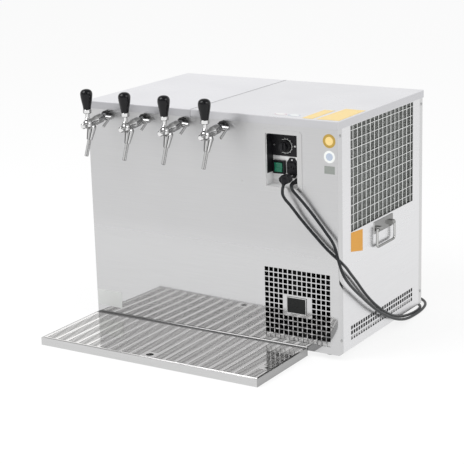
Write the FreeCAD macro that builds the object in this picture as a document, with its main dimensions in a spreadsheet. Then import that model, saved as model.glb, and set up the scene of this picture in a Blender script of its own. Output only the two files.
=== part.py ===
import FreeCAD, Part
import math
import os
import Sketcher

# A counter-top beer cooler: a stainless cabinet with a water bath, a compressor side,
# four taps with compensators, a control recess and a loose drip tray.
# Millimetres. X runs along the front from left to right, Y runs from the taps to the
# back, Z is up. The origin is on the counter, under the middle of the whole cooler.

Vector = FreeCAD.Vector
Rotation = FreeCAD.Rotation
Placement = FreeCAD.Placement

LENGTHS = (
    ("cabinet_width", 740.0, "across the side panels"),
    ("cabinet_depth", 480.0, "front panel face to back panel face"),
    ("cabinet_height", 600.0, "counter to lid top"),
    ("sheet", 1.2, "steel sheet"),
    ("bend_radius", 2.4, "outer radius of the front and back panels' bends"),
    ("fit_gap", 0.3, "play between pieces that only lie side by side"),
    ("running_gap", 0.08, "radial play of pins in their bores"),
    ("cut_overrun", 4.0, "how far a cutting tool runs past a wall"),
    ("front_wrap", 20.0, "front panel's return along each side"),
    ("back_wrap", 18.0, "back panel's return along each side"),
    ("side_tab", 11.0, "joggled tab of a side panel behind each wrap"),
    ("foot_height", 14.0, "rubber foot"),
    ("foot_radius", 17.0, "rubber foot at its top"),
    ("foot_inset", 46.0, "foot centre from the cabinet's edges"),
    ("pan_wall", 30.0, "height of the base pan"),
    ("lid_flange", 20.0, "depth of the lids' rim"),
    ("lid_seam", 325.0, "seam of the two lids from the left edge"),
    ("lid_seam_gap", 0.8, "between the two lids"),
    ("lid_seam_flange", 14.0, "fold of each lid along the seam"),
    ("vent_hole", 9.6, "square vent hole"),
    ("vent_pitch", 13.38, "vent hole pitch"),
    ("vent_left", 536.0, "first column of the front vent from the left edge"),
    ("vent_low", 38.1, "lowest row of the front vent"),
    ("side_vent_front", 67.2, "first column of the side vent from the front"),
    ("side_vent_low", 41.1, "lowest row of the side vent"),
    ("grille_front", 65.0, "front edge of the side opening"),
    ("grille_back", 419.0, "back edge of the side opening"),
    ("grille_low", 314.0, "lower edge of the side opening"),
    ("grille_high", 578.0, "upper edge of the side opening"),
    ("mesh_pitch", 23.3, "pitch of the mesh behind the side opening"),
    ("mesh_wire", 2.0, "width of the mesh's bars"),
    ("mesh_sheet", 1.2, "thickness of the mesh"),
    ("panel_screw_radius", 4.0, "screw head in the panels' returns"),
    ("panel_screw_head", 1.5, "height of a screw head"),
    ("panel_screw_inset", 11.0, "panel screws from the cabinet's front and back"),
    ("panel_screw_low", 50.0, "lower panel screws"),
    ("panel_screw_high", 564.0, "upper panel screws"),
    ("partition_left", 315.0, "wall between the bath and the compressor side"),
    ("bath_left", 34.0, "bath tank's outer left wall from the left edge"),
    ("bath_right", 298.0, "bath tank's outer right wall from the left edge"),
    ("bath_front", 46.0, "bath tank's outer front wall from the front"),
    ("bath_back", 436.0, "bath tank's outer back wall from the front"),
    ("bath_floor", 46.0, "underside of the bath tank"),
    ("bath_top", 545.0, "rim of the bath tank"),
    ("bath_rim", 12.0, "width of the bath tank's rim"),
    ("bath_wall", 1.2, "bath tank's wall"),
    ("foam_left", 8.0, "insulation's left face from the left edge"),
    ("foam_right", 312.0, "insulation's right face from the left edge"),
    ("foam_front", 8.0, "insulation's front face from the front"),
    ("foam_back", 462.0, "insulation's back face from the front"),
    ("coil_radius", 98.0, "centre line of the beer coil"),
    ("coil_tube", 5.0, "outer radius of the coils' tube"),
    ("coil_rise", 26.0, "climb of the beer coil in one turn"),
    ("evaporator_radius", 119.0, "centre line of the evaporator coil"),
    ("evaporator_rise", 40.0, "climb of the evaporator coil in one turn"),
    ("stirrer_x", 252.0, "stirrer's shaft from the left edge"),
    ("stirrer_y", 392.0, "stirrer's shaft from the front"),
    ("stirrer_motor_radius", 27.0, "stirrer motor"),
    ("stirrer_motor_height", 44.0, "stirrer motor"),
    ("stirrer_shaft_radius", 3.0, "stirrer's shaft"),
    ("stirrer_shaft_length", 190.0, "stirrer's shaft below its motor"),
    ("stirrer_blade_radius", 22.0, "stirrer's propeller"),
    ("stirrer_blade_sheet", 1.6, "stirrer's propeller blade"),
    ("stirrer_bracket_sheet", 2.0, "stirrer's bracket"),
    ("compressor_x", 490.0, "compressor's axis from the left edge"),
    ("compressor_y", 240.0, "compressor's axis from the front"),
    ("compressor_radius", 80.0, "compressor's shell"),
    ("compressor_height", 196.0, "top of the compressor above the base pan"),
    ("compressor_dome", 34.0, "height of the shell's domed ends"),
    ("compressor_plate", 3.0, "compressor's foot plate"),
    ("compressor_grommet", 12.0, "height of the rubber grommets"),
    ("condenser_depth", 38.0, "condenser across the air flow"),
    ("condenser_fin", 3.4, "condenser fin in the model"),
    ("condenser_fin_pitch", 12.0, "pitch of the condenser fins in the model"),
    ("condenser_fin_depth", 16.0, "how far the fins stand out of the core"),
    ("condenser_margin", 5.0, "condenser past the side opening"),
    ("shroud_sheet", 3.0, "fan baffle"),
    ("shroud_collar", 14.0, "collar round the fan"),
    ("fan_radius", 118.0, "fan blades' tips"),
    ("fan_hub_radius", 28.0, "fan hub"),
    ("fan_hub_depth", 18.0, "fan hub"),
    ("fan_tip_gap", 5.0, "between the fan's tips and its collar"),
    ("fan_face_gap", 2.0, "between the fan's hub and the condenser"),
    ("fan_blade_sheet", 2.4, "fan blade"),
    ("fan_motor_radius", 33.0, "fan motor"),
    ("fan_motor_length", 46.0, "fan motor"),
    ("fan_strap", 16.0, "width of the fan motor's strap"),
    ("fan_strap_sheet", 3.0, "fan motor's strap"),
    ("fan_shaft_radius", 4.0, "fan motor's shaft"),
    ("recess_left", 541.0, "recess opening from the left edge"),
    ("recess_right", 629.0, "recess opening from the left edge"),
    ("recess_low", 425.5, "recess opening's lower edge"),
    ("recess_high", 557.0, "recess opening's upper edge"),
    ("recess_depth", 36.0, "front face to recess back"),
    ("recess_sheet", 1.0, "recess's sheet"),
    ("recess_flange_left", 10.0, "recess flange past the opening, left"),
    ("recess_flange_right", 13.0, "recess flange past the opening, right"),
    ("recess_flange_up", 10.0, "recess flange past the opening, above and below"),
    ("recess_notch", 4.0, "relief notch in the flange's corners"),
    ("thermostat_width", 69.0, "black thermostat plate"),
    ("thermostat_low", 496.0, "black thermostat plate"),
    ("thermostat_high", 549.0, "black thermostat plate"),
    ("thermostat_sheet", 3.0, "black thermostat plate"),
    ("knob_x", 578.7, "knob's axis from the left edge"),
    ("knob_z", 521.2, "knob's axis"),
    ("knob_radius", 14.5, "knob's skirt"),
    ("knob_grip_radius", 10.5, "knob's cylinder"),
    ("knob_reach", 22.0, "knob in front of its plate"),
    ("knob_skirt", 5.0, "knob's skirt"),
    ("knob_rib", 2.6, "half width of the knob's rib"),
    ("knob_rib_step", 3.0, "rib's height on the knob"),
    ("control_screw_radius", 2.6, "screw heads in the recess"),
    ("control_screw_head", 1.2, "screw heads in the recess"),
    ("thermostat_screw_spread", 58.7, "thermostat plate's two screws"),
    ("thermostat_screw_left", 546.4, "thermostat plate's left screw"),
    ("switch_left", 544.0, "switch bezel from the left edge"),
    ("switch_width", 33.0, "switch bezel"),
    ("switch_low", 451.5, "switch bezel"),
    ("switch_height", 33.0, "switch bezel"),
    ("switch_depth", 8.0, "switch bezel in front of the recess back"),
    ("rocker_width", 21.5, "rocker"),
    ("rocker_height", 23.0, "rocker"),
    ("rocker_stand", 3.0, "rocker in front of its bezel"),
    ("rocker_clearance", 2.2, "rocker above and below in its bezel"),
    ("rocker_side_gap", 0.6, "rocker at its sides"),
    ("rocker_pin", 1.4, "rocker's pivot pin radius"),
    ("rocker_pin_reach", 2.0, "rocker's pivot pin in the bezel"),
    ("outlet_x", 595.5, "outlet's axis from the left edge"),
    ("outlet_z", 467.5, "outlet's axis"),
    ("outlet_height", 50.0, "outlet's flange"),
    ("outlet_width", 30.0, "outlet's flange"),
    ("outlet_tip", 7.0, "half width of the flange's ends"),
    ("outlet_flange", 2.0, "outlet's flange"),
    ("outlet_block_width", 24.0, "outlet's raised block"),
    ("outlet_block_height", 27.0, "outlet's raised block"),
    ("outlet_block_bevel", 5.0, "bevelled corners of the block"),
    ("outlet_block_depth", 7.0, "outlet's raised block"),
    ("outlet_slot_width", 2.2, "outlet's slots"),
    ("outlet_slot_height", 6.0, "outlet's slots"),
    ("outlet_slot_spread", 14.0, "outer slots, centre to centre"),
    ("outlet_slot_rise", 4.0, "middle slot above the outer ones"),
    ("outlet_slot_depth", 5.0, "outlet's slots"),
    ("outlet_screw_spread", 40.0, "outlet's two screws"),
    ("gland_x", 609.5, "cable gland's axis from the left edge"),
    ("gland_z", 436.0, "cable gland's axis"),
    ("gland_nut", 7.4, "cable gland's nut"),
    ("gland_cap", 5.8, "cable gland's cap"),
    ("gland_nut_depth", 6.0, "cable gland's nut"),
    ("gland_reach", 12.0, "cable gland in front of the recess back"),
    ("lead_radius", 3.75, "mains lead"),
    ("plug_x", 595.0, "plug's axis from the left edge"),
    ("plug_z", 446.5, "plug's axis"),
    ("plug_width", 27.0, "plug's body"),
    ("plug_height", 21.0, "plug's body"),
    ("plug_bevel", 7.0, "bevelled corners of the plug's body"),
    ("plug_back", 12.0, "plug's face behind the front panel"),
    ("plug_length", 20.0, "plug's body"),
    ("plug_tail", 10.0, "plug's strain relief"),
    ("plug_pin_radius", 2.4, "plug's pins"),
    ("plug_pin_length", 18.0, "plug's pins"),
    ("plug_pin_spread", 19.0, "plug's pins"),
    ("badge_left", 593.0, "blank badge from the left edge"),
    ("badge_width", 56.0, "blank badge"),
    ("badge_low", 105.0, "blank badge"),
    ("badge_height", 43.0, "blank badge"),
    ("badge_sheet", 1.6, "blank badge"),
    ("handle_front", 190.0, "handle plate from the front"),
    ("handle_length", 106.0, "handle plate"),
    ("handle_low", 278.0, "handle plate"),
    ("handle_high", 309.0, "handle plate"),
    ("handle_sheet", 2.0, "handle plate"),
    ("handle_knuckle", 5.6, "handle's knuckle radius"),
    ("handle_knuckle_length", 16.0, "handle's knuckle"),
    ("handle_stand", 8.0, "bail's axis off the side panel"),
    ("handle_axis_z", 290.0, "bail's axis"),
    ("bail_rod", 3.2, "bail's rod radius"),
    ("bail_width", 100.0, "bail between its rod's centre lines"),
    ("bail_drop", 46.0, "bail from its axis to the grip"),
    ("bail_bend", 9.0, "bail's bends"),
    ("bail_hook", 10.0, "bail's end inside each knuckle"),
    ("tap_first", 65.0, "first tap from the left edge"),
    ("tap_pitch", 119.0, "tap to tap"),
    ("tap_z", 566.0, "tap shanks' axis"),
    ("shank_radius", 7.5, "tap shank"),
    ("shank_reach", 34.0, "tap shank behind the front panel"),
    ("nut_radius", 13.0, "fluted coupling nut"),
    ("nut_flute", 1.3, "depth of the coupling nut's flutes"),
    ("nut_length", 11.0, "coupling nut"),
    ("back_nut_radius", 12.0, "nut behind the front panel"),
    ("back_nut_length", 8.0, "nut behind the front panel"),
    ("body_neck", 9.4, "tap body at the coupling nut"),
    ("body_belly", 12.0, "tap body at its thickest"),
    ("body_waist", 9.6, "tap body behind the ball"),
    ("ball_radius", 12.4, "tap body's ball under the lever"),
    ("nose_radius", 7.4, "tap body's nose"),
    ("neck_end", 16.0, "tap body's neck from the panel"),
    ("belly_start", 30.0, "tap body's belly from the panel"),
    ("belly_end", 52.0, "tap body's belly from the panel"),
    ("waist_at", 70.0, "tap body's waist from the panel"),
    ("lever_at", 85.0, "lever's pivot from the panel"),
    ("nose_end", 109.0, "tap body's nose from the panel"),
    ("nose_cap", 5.4, "radius of the nose's flat end"),
    ("socket_rim", 6.2, "radius of the lever's socket at its rim"),
    ("socket_wall", 2.4, "wall of the lever's socket"),
    ("stem_radius", 5.0, "lever's stem"),
    ("tongue_width", 4.0, "lever's tongue in the ball's slot"),
    ("tongue_depth", 3.2, "lever's tongue from front to back"),
    ("tongue_slot_front", 7.4, "ball's slot in front of the pivot"),
    ("tongue_slot_back", 3.0, "ball's slot behind the pivot"),
    ("lever_pin", 1.8, "radius of the lever's pivot pin"),
    ("lever_pin_length", 15.0, "lever's pivot pin"),
    ("stem_top", 29.5, "stem's end above the pivot"),
    ("collar_radius", 10.6, "lever's knurled collar"),
    ("collar_top", 39.5, "collar's end above the pivot"),
    ("collar_bevel", 2.0, "collar's bevels"),
    ("grip_foot", 10.2, "black grip at its foot"),
    ("grip_middle", 12.5, "black grip part way up"),
    ("grip_middle_at", 15.5, "that place above its foot"),
    ("grip_belly", 15.8, "black grip at its widest"),
    ("grip_belly_at", 38.5, "widest place above its foot"),
    ("grip_length", 51.0, "black grip"),
    ("spout_at", 70.0, "spout's root from the panel"),
    ("spout_drop", 21.0, "spout's root below the shank's axis"),
    ("spout_boss_radius", 11.8, "spout's boss"),
    ("spout_boss_length", 32.0, "spout's boss along its axis"),
    ("spout_boss_tip", 7.4, "spout's boss at its tip"),
    ("spout_radius", 5.0, "spout's tube"),
    ("spout_length", 43.0, "spout's tube below its boss"),
    ("spout_bore", 3.6, "spout's bore radius"),
    ("spout_bore_depth", 3.4, "spout's counterbore"),
    ("compensator_at", 18.0, "compensator's axis from the panel"),
    ("compensator_boss", 5.6, "compensator's boss radius"),
    ("compensator_face", 17.0, "boss's face from the tap's middle"),
    ("compensator_pin", 2.2, "compensator's pin radius"),
    ("compensator_pin_reach", 5.0, "compensator's pin in its boss"),
    ("compensator_hub", 5.0, "compensator lever's hub radius"),
    ("compensator_hub_length", 9.0, "compensator lever's hub"),
    ("compensator_rod", 2.6, "compensator lever's rod radius"),
    ("compensator_reach", 38.0, "compensator lever's rod"),
    ("inlet_first", 70.0, "first inlet from the left edge"),
    ("inlet_pitch", 50.0, "inlet to inlet"),
    ("inlet_z", 520.0, "inlets' axis"),
    ("inlet_projection", 20.0, "inlet fitting behind the back panel"),
    ("inlet_nut_radius", 9.0, "inlet fitting's nut"),
    ("inlet_nut_length", 8.0, "inlet fitting's nut"),
    ("inlet_collet_radius", 7.2, "inlet fitting's collet"),
    ("inlet_hole_radius", 6.0, "inlet's stem through the back panel"),
    ("inlet_bore", 4.8, "inlet for the beer tube"),
    ("inlet_stem", 16.0, "inlet's stem inside the back panel"),
    ("tray_width", 650.0, "drip tray"),
    ("tray_depth", 245.0, "drip tray, in front of the cabinet"),
    ("tray_height", 20.0, "drip tray"),
    ("tray_sheet", 1.2, "drip tray"),
    ("tray_bay_pitch", 33.4, "bays of the drip grille"),
    ("tray_slot_length", 25.6, "drip grille's slot"),
    ("tray_slot_width", 8.6, "drip grille's slot"),
    ("tray_slot_pitch", 16.4, "drip grille's slots in one bay"),
    ("tray_slot_margin", 12.0, "first slot's middle from the grille's front"),
    ("finger_radius", 10.0, "drip grille's finger hole"),
    ("notch_radius", 8.0, "drip grille's finger notch"),
    ("finger_front", 24.5, "finger hole's middle from the tray's front"),
    ("notch_front", 76.0, "notch's middle from the tray's front"),
)

ANGLES = (
    ("tap_slope_angle", 6.2, "tap body below the horizontal"),
    ("spout_lean_angle", 22.0, "spout forward of the vertical"),
    ("compensator_rest_angle", 31.0, "compensator lever below the horizontal"),
    ("plug_tail_angle", 60.0, "plug's strain relief below the horizontal"),
    ("fan_blade_angle", 28.0, "pitch of the fan's blades"),
    ("stirrer_blade_angle", 35.0, "pitch of the stirrer's blades"),
    ("full_turn_angle", 360.0, "one turn"),
)

COUNTS = (
    ("vent_columns_count", 14.0, "front vent"),
    ("vent_low_rows_count", 4.0, "rows below the badge"),
    ("vent_badge_rows_count", 4.0, "rows beside the badge"),
    ("vent_rows_count", 14.0, "front vent"),
    ("vent_left_columns_count", 4.0, "columns left of the badge"),
    ("vent_badge_columns_count", 6.0, "columns behind the badge"),
    ("side_vent_columns_count", 27.0, "side vent"),
    ("side_vent_rows_count", 3.0, "side vent"),
    ("mesh_columns_count", 16.0, "mesh behind the side opening"),
    ("mesh_rows_count", 12.0, "mesh behind the side opening"),
    ("tap_count", 4.0, "taps"),
    ("inlet_count", 4.0, "inlets"),
    ("fan_blade_count", 5.0, "fan"),
    ("stirrer_blade_count", 3.0, "stirrer"),
    ("tray_side_bays_count", 9.0, "bays on each side of the middle one"),
    ("tray_slots_count", 14.0, "slots in one bay"),
    ("tray_finger_slots_count", 2.0, "slots that the finger hole takes"),
    ("nut_flutes_count", 12.0, "flutes of a coupling nut"),
    ("coil_turns_count", 4.0, "beer coil"),
    ("evaporator_turns_count", 2.0, "evaporator coil"),
)

doc = FreeCAD.newDocument("BeerCooler")
sheet = doc.addObject("Spreadsheet::Sheet", "Dims")
for row, (name, number, note) in enumerate(LENGTHS + ANGLES + COUNTS, start=1):
    sheet.set("A%d" % row, name)
    sheet.set("B%d" % row, repr(number))
    sheet.set("C%d" % row, note)
    sheet.setAlias("B%d" % row, name)
doc.recompute()


class Size:
    """A number together with the sheet expression that it comes from."""

    def __init__(self, value, text):
        self.value = float(value)
        self.text = text

    def __add__(self, other):
        other = as_size(other)
        return Size(self.value + other.value, "(%s + %s)" % (self.text, other.text))

    def __sub__(self, other):
        other = as_size(other)
        return Size(self.value - other.value, "(%s - %s)" % (self.text, other.text))

    def __mul__(self, other):
        other = as_size(other)
        return Size(self.value * other.value, "(%s * %s)" % (self.text, other.text))

    def __truediv__(self, other):
        other = as_size(other)
        return Size(self.value / other.value, "(%s / %s)" % (self.text, other.text))

    def __neg__(self):
        return Size(-self.value, "(0 - %s)" % self.text)

    def root(self):
        return Size(math.sqrt(self.value), "sqrt(%s)" % self.text)


def as_size(number):
    """Any plain number as a Size."""
    if isinstance(number, Size):
        return number
    return Size(number, repr(float(number)))


class Dimensions:
    """Gives each named cell of the sheet as a Size."""

    def __getattr__(self, name):
        return Size(sheet.get(name), "Dims." + name)


d = Dimensions()
ZERO = Size(0.0, "0")

half_width = d.cabinet_width / 2
front = (d.tray_depth - d.cabinet_depth - d.inlet_projection) / 2
back = front + d.cabinet_depth
lid_underside = d.cabinet_height - d.sheet
panel_height = lid_underside - d.fit_gap - d.foot_height
inner_half_width = half_width - d.sheet * 2 - d.fit_gap * 2
inner_front = front + d.sheet + d.fit_gap
inner_back = back - d.sheet - d.fit_gap
pan_floor = d.foot_height + d.sheet
parts = []


def across(distance):
    """X of a place that is given from the cabinet's left edge."""
    return distance - half_width


def inward(distance):
    """Y of a place that is given from the front panel's face."""
    return front + distance


def count(size):
    """A counted cell as a whole number."""
    return int(round(size.value))


def vector(x, y, z):
    """Three sizes as a vector of their present values."""
    return Vector(as_size(x).value, as_size(y).value, as_size(z).value)


def bind(thing, prop, size):
    """Ties one property to the sheet."""
    thing.setExpression(prop, as_size(size).text)


def place(thing, x, y, z, rotation=None):
    """Puts a thing at three sizes, turned by a rotation if it has one."""
    if rotation is not None:
        thing.Placement = Placement(Vector(0, 0, 0), rotation)
    bind(thing, "Placement.Base.x", x)
    bind(thing, "Placement.Base.y", y)
    bind(thing, "Placement.Base.z", z)
    return thing


def finish(thing, label):
    """Names a finished sub-part and keeps it for the export."""
    thing.Label = label
    parts.append(thing)
    return thing


def box(name, x, y, z):
    """A box between the two sizes of each pair."""
    thing = doc.addObject("Part::Box", name)
    bind(thing, "Length", x[1] - x[0])
    bind(thing, "Width", y[1] - y[0])
    bind(thing, "Height", z[1] - z[0])
    return place(thing, x[0], y[0], z[0])


TURN_TO = {
    "+X": Rotation(Vector(0, 1, 0), 90),
    "-X": Rotation(Vector(0, 1, 0), -90),
    "+Y": Rotation(Vector(1, 0, 0), -90),
    "-Y": Rotation(Vector(1, 0, 0), 90),
    "+Z": Rotation(Vector(0, 0, 1), 0),
    "-Z": Rotation(Vector(1, 0, 0), 180),
}


def rod(name, start, way, radius, length):
    """A cylinder from a start point, one way along an axis."""
    thing = doc.addObject("Part::Cylinder", name)
    bind(thing, "Radius", radius)
    bind(thing, "Height", length)
    turn = TURN_TO[way] if isinstance(way, str) else way
    return place(thing, start[0], start[1], start[2], turn)


def cone(name, start, way, radius, tip_radius, length):
    """A cone from a start point, one way along an axis."""
    thing = doc.addObject("Part::Cone", name)
    bind(thing, "Radius1", radius)
    bind(thing, "Radius2", tip_radius)
    bind(thing, "Height", length)
    turn = TURN_TO[way] if isinstance(way, str) else way
    return place(thing, start[0], start[1], start[2], turn)


def ball(name, centre, radius):
    """A whole ball."""
    thing = doc.addObject("Part::Sphere", name)
    bind(thing, "Radius", radius)
    return place(thing, centre[0], centre[1], centre[2])


def fuse(name, shapes, refine=True):
    """Several things as one solid."""
    thing = doc.addObject("Part::MultiFuse", name)
    thing.Shapes = shapes
    thing.Refine = refine
    return thing


def cut(name, base, tool):
    """A thing less its tool."""
    thing = doc.addObject("Part::Cut", name)
    thing.Base = base
    thing.Tool = tool
    return thing


def solid(name, shape):
    """A thing whose shape is made by hand."""
    thing = doc.addObject("Part::Feature", name)
    thing.Shape = shape
    return thing


def body(name, x, y, z, rotation=None):
    """A body whose own origin lies at three sizes."""
    return place(doc.addObject("PartDesign::Body", name), x, y, z, rotation)


def origin_feature(owner, role):
    """An axis or a plane of a body's own origin."""
    return [item for item in owner.Origin.OriginFeatures if item.Role == role][0]


def pin_rules(geometry, position, u, v):
    """Constraints that hold one point of a sketch at two sizes, each with its expression."""
    rules = []
    for kind, axis, size in (("DistanceX", -2, u), ("DistanceY", -1, v)):
        if size.text == "0":
            rules.append((Sketcher.Constraint("PointOnObject", geometry, position, axis), None))
        else:
            rules.append((Sketcher.Constraint(kind, -1, 1, geometry, position, size.value), size.text))
    return rules


def add_rules(sketch, rules):
    """Adds all constraints at once, then ties those that have one to their expressions."""
    numbers = sketch.addConstraint([rule for rule, text in rules])
    for number, (rule, text) in zip(numbers, rules):
        if text is not None:
            sketch.setExpression("Constraints[%d]" % number, text)


def arc_middle(start, end, radius):
    """The middle of an arc that bulges to the right of its way, or left if negative."""
    chord = end - start
    half = chord.Length / 2
    rise = abs(radius) - math.sqrt(max(radius * radius - half * half, 0.0))
    side = Vector(chord.y, -chord.x, 0).normalize()
    return (start + end) / 2 + side * math.copysign(rise, radius)


def draw_outline(sketch, points):
    """A closed outline of (u, v) points; (u, v, radius) makes the edge to it an arc."""
    first = sketch.GeometryCount
    total = len(points)
    flat = [vector(point[0], point[1], ZERO) for point in points]
    for index in range(total):
        after = (index + 1) % total
        if len(points[after]) == 3:
            middle = arc_middle(flat[index], flat[after], points[after][2].value)
            sketch.addGeometry(Part.Arc(flat[index], middle, flat[after]), False)
        else:
            sketch.addGeometry(Part.LineSegment(flat[index], flat[after]), False)
    rules = []
    for index in range(total):
        after = (index + 1) % total
        arc = len(points[after]) == 3
        start, end = outline_ends(sketch, first + index, flat[index], arc)
        next_arc = len(points[(after + 1) % total]) == 3
        next_start = outline_ends(sketch, first + after, flat[after], next_arc)[0]
        meet = Sketcher.Constraint("Coincident", first + index, end, first + after, next_start)
        rules.append((meet, None))
        rules += pin_rules(first + index, start, as_size(points[index][0]), as_size(points[index][1]))
        if arc:
            radius = points[after][2] if points[after][2].value > 0 else -points[after][2]
            rules.append((Sketcher.Constraint("Radius", first + index, radius.value), radius.text))
    add_rules(sketch, rules)


def outline_ends(sketch, geometry, start, arc):
    """Which end numbers of an edge are its first and its last point."""
    if not arc:
        return 1, 2
    begins = sketch.getPoint(geometry, 1)
    return (1, 2) if (begins - start).Length < (sketch.getPoint(geometry, 2) - start).Length else (2, 1)


def draw_circle(sketch, u, v, radius):
    """A circle whose middle and radius are sizes."""
    circle = Part.Circle(vector(u, v, ZERO), Vector(0, 0, 1), radius.value)
    number = sketch.addGeometry(circle, False)
    rules = pin_rules(number, 3, as_size(u), as_size(v))
    rules.append((Sketcher.Constraint("Radius", number, radius.value), radius.text))
    add_rules(sketch, rules)


def rectangle(u, v):
    """The outline of a rectangle between the two sizes of each pair."""
    return [(u[0], v[0]), (u[1], v[0]), (u[1], v[1]), (u[0], v[1])]


def sketch_on(owner, plane, name, outlines=(), circles=()):
    """A sketch on one of a body's own planes: XY, XZ or YZ."""
    sketch = owner.newObject("Sketcher::SketchObject", name)
    sketch.AttachmentSupport = [(origin_feature(owner, plane + "_Plane"), "")]
    sketch.MapMode = "FlatFace"
    for outline in outlines:
        draw_outline(sketch, outline)
    for circle in circles:
        draw_circle(sketch, *circle)
    return sketch


def pad(owner, sketch, length, backwards=False):
    """A sketch pushed out along its plane's normal, or against it."""
    feature = owner.newObject("PartDesign::Pad", sketch.Name + "_pad")
    feature.Profile = sketch
    feature.Reversed = backwards
    bind(feature, "Length", length)
    return feature


def pocket(owner, sketch, depth, backwards=False):
    """A sketch cut in against its plane's normal, or along it."""
    feature = owner.newObject("PartDesign::Pocket", sketch.Name + "_pocket")
    feature.Profile = sketch
    feature.Refine = False
    feature.Reversed = backwards
    bind(feature, "Length", depth)
    return feature


def revolve(owner, sketch, axis):
    """A sketch turned once round one of the body's own axes."""
    feature = owner.newObject("PartDesign::Revolution", sketch.Name + "_turned")
    feature.Profile = sketch
    feature.ReferenceAxis = (origin_feature(owner, axis + "_Axis"), [""])
    bind(feature, "Angle", d.full_turn_angle)
    return feature


def repeat(owner, feature, *directions):
    """A feature repeated along one or two axes: (axis, count, pitch) each."""
    rows = []
    pattern = owner.newObject("PartDesign::MultiTransform", feature.Name + "_grid")
    for axis, copies, pitch in directions:
        if count(copies) < 2:
            continue
        row = owner.newObject("PartDesign::LinearPattern", feature.Name + "_row")
        row.Direction = (origin_feature(owner, axis + "_Axis"), [""])
        bind(row, "Length", pitch * (copies - 1))
        bind(row, "Occurrences", copies)
        rows.append(row)
    pattern.Originals = [feature]
    pattern.Transformations = rows
    pattern.Refine = False
    owner.Tip = pattern
    return pattern


def wrap_outline(depth, way):
    """Plan of a panel with a return at each end; way is 1 for a return towards +Y."""
    bend = d.bend_radius
    inner = d.bend_radius - d.sheet
    edge = half_width
    return [
        (-edge + bend, ZERO),
        (edge - bend, ZERO),
        (edge, bend * way, bend * way),
        (edge, depth * way),
        (edge - d.sheet, depth * way),
        (edge - d.sheet, bend * way),
        (edge - d.sheet - inner, d.sheet * way, -inner * way),
        (-edge + d.sheet + inner, d.sheet * way),
        (-edge + d.sheet, bend * way, -inner * way),
        (-edge + d.sheet, depth * way),
        (-edge, depth * way),
        (-edge, bend * way),
        (-edge + bend, ZERO, bend * way),
    ][:-1]


def corners(plane, at, u, v):
    """The closed wire of a rectangle on a plane that is square to Y, X or Z at a place."""
    places = {"XZ": lambda a, b: Vector(a, at, b), "YZ": lambda a, b: Vector(at, a, b)}
    spot = places.get(plane, lambda a, b: Vector(a, b, at))
    points = [spot(u[0], v[0]), spot(u[1], v[0]), spot(u[1], v[1]), spot(u[0], v[1])]
    return Part.makePolygon(points + points[:1])


def grid_wires(plane, at, first, size, pitch, copies, skipped=()):
    """Wires of a grid of rectangles: first corner, size, pitch and count both ways."""
    wires = []
    for column in range(copies[0]):
        for row in range(copies[1]):
            if (column, row) in skipped:
                continue
            u = first[0].value + pitch[0].value * column
            v = first[1].value + pitch[1].value * row
            wires.append(corners(plane, at.value, (u, u + size[0].value), (v, v + size[1].value)))
    return wires


def holed_sheet(name, wires, way):
    """A sheet from its outer wire and the wires of its holes, as thick as the vector."""
    face = Part.makeFace(Part.makeCompound(wires), "Part::FaceMakerBullseye")
    return solid(name, face.extrude(way))


def punch(name, panel, wires, way):
    """A panel less a prism through it for each wire; way runs from the wires through it."""
    prisms = [Part.Face(wire).extrude(way) for wire in wires]
    return cut(name + "_punched", panel, solid(name + "_punches", Part.makeCompound(prisms)))


def close_wrap(points):
    """Gives the outline's first point the bend that leads to it."""
    first = points[0]
    return [(first[0], first[1], points[2][2])] + points[1:]


def make_front_panel():
    """Front panel: vents round the badge, tap holes and the control recess's hole."""
    panel = body("front_panel_body", ZERO, front, d.foot_height)
    plan = sketch_on(panel, "XY", "front_panel_plan", [close_wrap(wrap_outline(d.front_wrap, 1))])
    pad(panel, plan, panel_height)
    radius = d.shank_radius + d.fit_gap
    hole = sketch_on(panel, "XZ", "shank_hole", (), [(across(d.tap_first), d.tap_z - d.foot_height, radius)])
    repeat(panel, pocket(panel, hole, d.sheet + d.cut_overrun), ("X", d.tap_count, d.tap_pitch))
    margin = d.recess_sheet + d.fit_gap
    sides = (across(d.recess_left) - margin, across(d.recess_right) + margin)
    heights = (d.recess_low - d.foot_height - margin, d.recess_high - d.foot_height + margin)
    window = sketch_on(panel, "XZ", "recess_window", [rectangle(sides, heights)])
    pocket(panel, window, d.sheet + d.cut_overrun)
    badge_columns = range(count(d.vent_left_columns_count),
                          count(d.vent_left_columns_count + d.vent_badge_columns_count))
    badge_rows = range(count(d.vent_low_rows_count),
                       count(d.vent_low_rows_count + d.vent_badge_rows_count))
    wires = grid_wires(
        "XZ", front - d.cut_overrun,
        (across(d.vent_left) - d.vent_hole / 2, d.vent_low - d.vent_hole / 2),
        (d.vent_hole, d.vent_hole), (d.vent_pitch, d.vent_pitch),
        (count(d.vent_columns_count), count(d.vent_rows_count)),
        [(column, row) for column in badge_columns for row in badge_rows],
    )
    panel = punch("front_panel", panel, wires, vector(ZERO, d.sheet + d.cut_overrun * 2, ZERO))
    return finish(panel, "front_panel")


def make_back_panel():
    """Back panel with the beer inlets' holes."""
    panel = body("back_panel_body", ZERO, back, d.foot_height)
    plan = sketch_on(panel, "XY", "back_panel_plan", [close_wrap(wrap_outline(d.back_wrap, -1))])
    pad(panel, plan, panel_height)
    radius = d.inlet_hole_radius + d.fit_gap
    first = (across(d.inlet_first), d.inlet_z - d.foot_height, radius)
    hole = sketch_on(panel, "XZ", "inlet_hole", (), [first])
    drill = pocket(panel, hole, d.sheet + d.cut_overrun, True)
    repeat(panel, drill, ("X", d.inlet_count, d.inlet_pitch))
    return finish(panel, "back_panel")


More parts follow.
